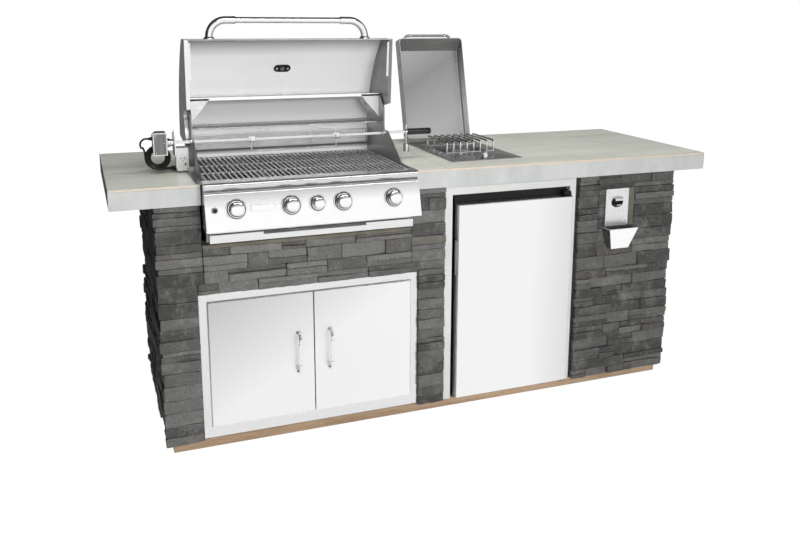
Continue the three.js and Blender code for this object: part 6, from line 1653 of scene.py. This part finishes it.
class ISLAND_OT_rotisserie(IslandStep):
    """Motor, bracket, forks, grip and counterweight"""

    bl_idname = "island.rotisserie"
    bl_label = "Rotisserie"

    def build(self, scene):
        self.make_motor()
        self.make_bracket()
        self.make_forks()
        self.make_grip()

    def make_motor(self):
        low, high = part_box("spit_motor")
        neck, r = 0.024, 0.019
        left, right = high.x - neck - 0.05, high.x - neck
        bottom, top = SPIT_Z - 0.0415, SPIT_Z + 0.0415
        front, back = SPIT_Y - 0.04, SPIT_Y + 0.04
        cut, slack = 0.013, 0.002
        band, bright, rubber = 1, 2, 3
        bm = bmesh.new()
        shell = [(left + slack, bottom + cut), (left + cut, bottom + slack), (right - slack, bottom + slack)]
        shell += [(right - slack, top - slack), (left + cut, top - slack), (left + slack, top - cut)]
        add_prism(bm, shell, "Y", front + 0.008, back)
        add_prism(bm, rectangle(left, right, bottom, top, 0.003), "Y", front + 0.0025, front + 0.009, band)
        inner = rectangle(left + 0.004, right - 0.004, bottom + 0.004, top - 0.004, 0.002)
        add_prism(bm, inner, "Y", front + 0.0005, front + 0.003)
        screw_x = left + 0.01
        for x, z in ((right - 0.012, SPIT_Z + 0.004), (screw_x, bottom + 0.01), (screw_x, top - 0.01)):
            add_screw(bm, at(x, front + 0.001, z, 90), 0.0026, 0.0014, 16, bright)
        tube = [(0, -0.004), (r, -0.004), (r, 0.003), (r - 0.003, 0.005), (r - 0.003, 0.012)]
        tube.append((r - 0.006, 0.013))
        add_turned(bm, tube + [(r - 0.006, neck), (0, neck)], 40, at(right, SPIT_Y, SPIT_Z, 0, 90), bright)
        out = left - low.x
        gland = [(0, -0.004), (0.007, -0.004), (0.0075, 0.001), (0.0062, 0.004), (0.0045, out), (0, out)]
        add_turned(bm, gland, 24, at(left, SPIT_Y, top - 0.024, 0, -90), rubber)
        finishes = ["motor_paint", "stainless", "chrome", "black_rubber"]
        piece("motor_housing", bm, finishes, "island", "spit_motor", bevel=0.0007)

    def make_bracket(self):
        low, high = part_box("spit_bracket")
        plate_x, wide, box_top = -0.965, 0.025, 1.09
        box_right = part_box("hood_shell")[0].x - 0.0015
        front, back = SPIT_Y - wide, SPIT_Y + wide
        pale, dark = 1, 2
        bm = bmesh.new()
        add_block(bm, (plate_x, high.x), (front, back), (low.z, 1.018))
        outer = rectangle(plate_x, box_right, low.z, box_top, 0.004)
        inner = rectangle(plate_x + 0.003, box_right - 0.003, low.z + 0.003, box_top - 0.003, 0.003)
        add_prism(bm, outer, "Y", front + 0.002, back)
        # The pale frame round the box's face is a painted highlight on its rolled edges; the hook plate below
        # takes the same pale steel.
        add_window(bm, outer, inner, "Y", front, front + 0.003, pale)
        screws = [(-0.948, 1.052, 0.0024), (-0.935, 1.052, 0.0024)]
        screws += [(-0.94, 1.042, 0.0018), (-0.932, 1.03, 0.0036)]
        for x, z, r in screws:
            add_screw(bm, at(x, front + 0.002, z, 90), r, 0.0015, 16, dark)
        top = high.z
        hook = [(-0.04, 1.062), (0.04, 1.062), (0.04, top - 0.018), (0.02, top - 0.012)]
        hook.append((BUSH_RADIUS, top - 0.02))
        hook += arc((0.0, SPIT_Z), BUSH_RADIUS, 0, -180, 12)
        hook += [(-BUSH_RADIUS, top - 0.02), (-0.026, top), (-0.04, top - 0.03)]
        add_prism(bm, hook, "X", low.x, low.x + 0.004, pale, at(0.0, SPIT_Y, 0.0))
        finishes = ["stainless_upright", "door_steel", "grip_plastic"]
        piece("bracket_sheet", bm, finishes, replaces="spit_bracket", bevel=0.0006)

    def make_forks(self):
        collar, bore, long = 0.011, 0.0053, 0.011
        screw = [(0, 0), (0.003, 0), (0.003, 0.006), (0.0065, 0.006), (0.0065, 0.013), (0.0055, 0.0145)]
        screw.append((0, 0.0145))
        for side, x, toward in (("left", -0.684, 1), ("right", -0.352, -1)):
            bm = bmesh.new()
            place = at(x, SPIT_Y, SPIT_Z)
            outer = rectangle(-collar, collar, -collar, collar, 0.003, 3)
            inner = rectangle(-bore, bore, -bore, bore, 0.0005, 3)
            add_window(bm, outer, inner, "X", -long, long, 0, place)
            add_turned(bm, screw, 24, place @ at(0, -collar, 0, 90))
            for reach, along in ((-0.044, 0.124), (0.03, 0.093)):
                start = math.copysign(collar * 0.8, reach)
                corners = [(0, 0, start), (0, 0, reach), (toward * (along - 0.01), 0, reach)]
                points = bent(corners, 0.008, 8) + [Vector((toward * along, 0, reach))]
                add_tube(bm, points, [0.002] * (len(points) - 1) + [0.0005], 12, 0, place)
            piece("meat_fork_" + side, bm, "chrome", "spit", "spit_fork_" + side, bevel=0.0004)

    def make_grip(self):
        start, long, r, ferrule, bright = -0.063, 0.112, 0.013, 0.009, 1
        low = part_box("spit_grip")[0]
        bm = bmesh.new()
        place = at(start, SPIT_Y, SPIT_Z, 0, 90)
        add_turned(bm, [(0, 0), (r * 0.62, 0), (r * 0.62, ferrule), (0, ferrule)], 32, place, bright)
        profile = [(0, ferrule), (r * 0.86, ferrule), (r * 0.97, ferrule + 0.003), (r, ferrule + 0.008)]
        profile += [(r * 0.97, long * 0.5), (r, long - 0.016), (r * 0.96, long - 0.006)]
        add_turned(bm, profile + [(r * 0.78, long - 0.0015), (0, long)], 40, place)
        arm_x = start + ferrule / 2
        add_tube(bm, [(arm_x, SPIT_Y, SPIT_Z + 0.03), (arm_x, SPIT_Y, low.z + 0.028)], 0.0025, 14, bright)
        weight = [(0, 0), (0.011, 0), (0.012, 0.001), (0.012, 0.031), (0.011, 0.032), (0, 0.032)]
        add_turned(bm, weight, 36, at(arm_x, SPIT_Y, low.z), bright)
        wing = [(0, 0), (0.0045, 0), (0.0052, 0.002), (0.004, 0.008), (0, 0.009)]
        add_turned(bm, wing, 20, at(arm_x, SPIT_Y, SPIT_Z + 0.021), bright)
        piece("spit_handle", bm, ["grip_plastic", "chrome"], "spit", "spit_grip", bevel=0.0003)


# Side burner


class ISLAND_OT_side_burner(IslandStep):
    """Side burner pan, burner head, trivet, knob and lid"""

    bl_idname = "island.side_burner"
    bl_label = "Side burner"

    def build(self, scene):
        self.make_pan(scene.island_grill.round_sides)
        self.make_trivet()
        self.make_knob()
        self.make_lid()

    def make_pan(self, sides):
        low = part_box("side_burner_pan")[0]
        half, front, back = 0.159, -0.268, 0.262
        deck_low, deck_top = COUNTER_TOP + SEAT, COUNTER_TOP + SEAT + 0.003
        well_half, well_front, well_back, floor_z = 0.1, -0.084, 0.108, deck_top - 0.032
        inset, head_finish, bright = 0.0153, 1, 2

        def deck(shrink, corner):
            return rectangle(-half + shrink, half - shrink, front + shrink, back - shrink, corner)

        def well(shrink, corner):
            sides = (-well_half + shrink, well_half - shrink, well_front + shrink, well_back - shrink)
            return rectangle(*sides, corner)

        bm = bmesh.new()
        spots = [
            (deck(inset, 0.006), low.z),
            (deck(inset, 0.006), deck_low),
            (deck(0.0, 0.005), deck_low),
            (deck(0.0, 0.005), deck_top - 0.0008),
            (deck(0.0015, 0.004), deck_top),
            (deck(0.012, 0.004), deck_top),
            (deck(0.015, 0.004), deck_top - 0.0014),
            (well(-0.002, 0.016), deck_top - 0.0014),
            (well(0.0, 0.016), deck_top - 0.0035),
            (well(0.0, 0.016), floor_z + 0.006),
            (well(0.006, 0.012), floor_z),
        ]
        middle = at(SIDE_X, 0, 0)
        add_faces(bm, [add_ring(bm, points, "Z", z, middle) for points, z in spots], capped=True)
        head = [(0, -0.004), (0.03, -0.004), (0.034, 0.004), (0.044, 0.007), (0.044, 0.0115), (0.036, 0.0135)]
        head += [(0.0325, 0.0155), (0.0325, 0.019), (0, 0.019)]
        cap = [(0, 0.0185), (0.034, 0.0185), (0.035, 0.0205), (0.033, 0.024), (0.022, 0.026), (0, 0.0262)]
        place = at(SIDE_X, (well_front + well_back) / 2, floor_z)
        add_turned(bm, head, sides, place, head_finish, (24, 0.0012, 6, 7))
        add_turned(bm, cap, sides, place, bright)
        bezel = [(0, -0.002), (0.021, -0.002), (0.021, 0.001), (0.0195, 0.0026), (0.017, 0.004), (0, 0.004)]
        add_turned(bm, bezel, sides, at(SIDE_X, SIDE_KNOB_Y, deck_top - 0.0008), bright)
        hinge_y, hinge_z = LID_PIVOT.y, LID_PIVOT.z
        ear = [(hinge_y - 0.0095, deck_top - 0.001), (hinge_y + 0.004, deck_top - 0.001)]
        ear += [(hinge_y + 0.004, hinge_z), *arc((hinge_y - 0.002, hinge_z), 0.0075, 20, 180, 8)]
        for sign in (-1, 1):
            x = sorted((sign * half, sign * (half - 0.004)))
            add_prism(bm, ear, "X", *x, place=middle)
            pin = [(sign * half, hinge_y, hinge_z), (sign * (half - 0.0076), hinge_y, hinge_z)]
            add_tube(bm, pin, 0.004, 16, bright, middle)
        finishes = ["pan_steel", "stainless", "chrome"]
        piece("side_burner_deck", bm, finishes, replaces="side_burner_pan", bevel=0.0004)

    def make_trivet(self):
        low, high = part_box("side_trivet")
        rod, bars, half, dark = 0.0035, 8, 0.107, 1
        front, back, top = low.y + rod, high.y - rod, high.z - rod
        foot = COUNTER_TOP + 0.0036 + rod
        bm = bmesh.new()
        for i in range(bars):
            x = SIDE_X - half + 2 * half * i / (bars - 1)
            corners = [(x, front, foot), (x, front, top), (x, back, top), (x, back, foot)]
            add_tube(bm, bent(corners, rod * 2.6, 6), rod, 14)
        for y in (front, back):
            add_tube(bm, [(SIDE_X - half - rod, y, foot), (SIDE_X + half + rod, y, foot)], rod * 0.96, 12)
        # The tops of the bars take the darker rack steel: a painted reflection, so the bars read darker on
        # top than on their legs.
        for face in bm.faces:
            if face.calc_center_median().z > top - rod:
                face.material_index = dark
        piece("pot_trivet", bm, ["chrome", "rack_steel"], replaces="side_trivet", sharp=50.0)

    def make_knob(self):
        r, h, dark = 0.017, 0.024, 1
        place = at(SIDE_X, SIDE_KNOB_Y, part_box("side_knob")[0].z)
        profile = [(0, 0), (r, 0), (r, 0.002), (r * 0.97, 0.005), (r * 0.86, 0.0085), (r * 0.84, h * 0.8)]
        profile += [(r * 0.88, h * 0.86), (r * 0.84, h * 0.94), (r * 0.6, h * 0.98), (0, h)]
        bm = bmesh.new()
        add_turned(bm, profile, 60, place, 0, (10, 0.0011, 4, 5))
        mark = rectangle(-0.0005, 0.0005, -r * 0.72, -r * 0.3, 0.0004, 3)
        add_prism(bm, mark, "Z", h * 0.9, h * 0.995, dark, place)
        finishes = ["chrome", "grip_plastic"]
        piece("side_burner_knob_cap", bm, finishes, "side_burner_knob", "side_knob", sharp=40.0)

    def make_lid(self):
        """A drawn lid with round corners, rivets and its handle; it stands open."""
        place = at(*LID_PIVOT, -LID_OPEN)
        half, front, rear, low, high = 0.1544, -0.456, 0.004, -0.0168, 0.0432
        sheet, bend, corner = 0.003, 0.009, 0.016
        bright, dark, outer_finish, wall_finish = 1, 2, 3, 4
        bm = bmesh.new()

        def ring(grow, z):
            edges = (-half + grow, half - grow, front + grow, rear - grow)
            return add_ring(bm, rectangle(*edges, corner - grow * 0.6, 6), "Z", z, place)

        def drawn(grow, radius, angles):
            """Rings round the edge, from the skirt to the flat top or back."""
            turns = [(1 - math.cos(a), 1 - math.sin(a)) for a in angles]
            return [ring(grow + radius * over, high - grow - radius * down) for over, down in turns]

        quarter = np.linspace(0.0, math.pi / 2, 7)
        outside = [ring(0.0, low), *drawn(0.0, bend, quarter)]
        inside = [*drawn(sheet, bend * 0.7, quarter[::-1]), ring(sheet, low)]
        add_faces(bm, outside, outer_finish)
        add_faces(bm, inside)
        add_faces(bm, [inside[-1], outside[0]])
        bm.faces.new(outside[-1]).material_index = outer_finish
        bm.faces.new(inside[0][::-1])
        # The lid's right inner wall takes its own finish, with painted shade darker towards its top.
        inner_wall = SIDE_X + half - sheet
        for face in bm.faces:
            if abs(face.calc_center_median().x - inner_wall) < 0.0001:
                face.material_index = wall_finish
        grip_half, grip_y, grip_z = 0.112, front - 0.02, high - 0.02
        start = front + 0.001
        corners = [(-grip_half, start, grip_z), (-grip_half, grip_y, grip_z)]
        corners += [(grip_half, grip_y, grip_z), (grip_half, start, grip_z)]
        # The handle and the brow take the darker steel: a painted reflection on the handle and painted shade
        # on the brow.
        add_tube(bm, bent(corners, 0.018, 10), 0.006, 20, dark, place)
        brow_front = front + sheet
        brow = [(brow_front, low + 0.002), (brow_front + 0.044, high - sheet), (brow_front, high - sheet)]
        add_prism(bm, brow, "X", sheet - half, half - sheet, dark, place)
        boss = [(0, 0), (0.011, 0), (0.011, 0.002), (0.0075, 0.005), (0, 0.005)]
        collar = [(0, 0), (0.0068, 0), (0.0072, 0.001), (0.0072, 0.007), (0.0066, 0.008), (0, 0.008)]
        for sign in (-1, 1):
            x, inward = sign * grip_half, -sign * 90
            add_turned(bm, boss, 28, place @ at(x, front, grip_z, 90), bright)
            add_turned(bm, collar, 24, place @ at(x - sign * 0.022, grip_y, grip_z, 0, inward), bright)
            add_screw(bm, place @ at(x, brow_front, grip_z, -90), 0.0045, 0.0022, 18, bright)
            for y in (front + 0.045, rear - 0.03):
                rivet = place @ at(sign * (half - sheet), y, 0.01, 0, inward)
                add_screw(bm, rivet, 0.0034, 0.0016, 16, bright)
        finishes = ["lid_steel", "chrome", "brow_steel", "outer_steel", "wall_steel"]
        piece("side_lid_shell", bm, finishes, "side_lid", "side_burner_lid", bevel=0.0003)


class ISLAND_PT_panel(Panel):
    """Lists the island's steps"""

    bl_label = "Island"
    bl_idname = "ISLAND_PT_panel"
    bl_space_type = "VIEW_3D"
    bl_region_type = "UI"
    bl_category = "Island"

    def draw(self, context):
        for step in STEPS:
            self.layout.operator(step.bl_idname)
        for name, group in GROUP_CLASSES.items():
            box = self.layout.box()
            for field in group.__annotations__:
                box.prop(getattr(context.scene, name), field)


STEPS = [
    ISLAND_OT_stage,
    ISLAND_OT_cord,
    ISLAND_OT_carried,
    ISLAND_OT_stone,
    ISLAND_OT_doors,
    ISLAND_OT_opener,
    ISLAND_OT_housing,
    ISLAND_OT_grate,
    ISLAND_OT_panel,
    ISLAND_OT_hood,
    ISLAND_OT_rotisserie,
    ISLAND_OT_side_burner,
]


def register():
    for group in GROUP_CLASSES.values():
        bpy.utils.register_class(group)
    for name, group in GROUP_CLASSES.items():
        setattr(bpy.types.Scene, name, PointerProperty(type=group))
    for step in STEPS:
        bpy.utils.register_class(step)
    bpy.utils.register_class(ISLAND_PT_panel)


def unregister():
    bpy.utils.unregister_class(ISLAND_PT_panel)
    for step in reversed(STEPS):
        bpy.utils.unregister_class(step)
    for name, group in GROUP_CLASSES.items():
        delattr(bpy.types.Scene, name)
        bpy.utils.unregister_class(group)


def main():
    register()
    make_materials(bpy.context.scene.island_colours)
    for step in STEPS:
        group, name = step.bl_idname.split(".")
        getattr(getattr(bpy.ops, group), name)()
    bpy.context.view_layer.update()


if __name__ == "__main__":
    main()
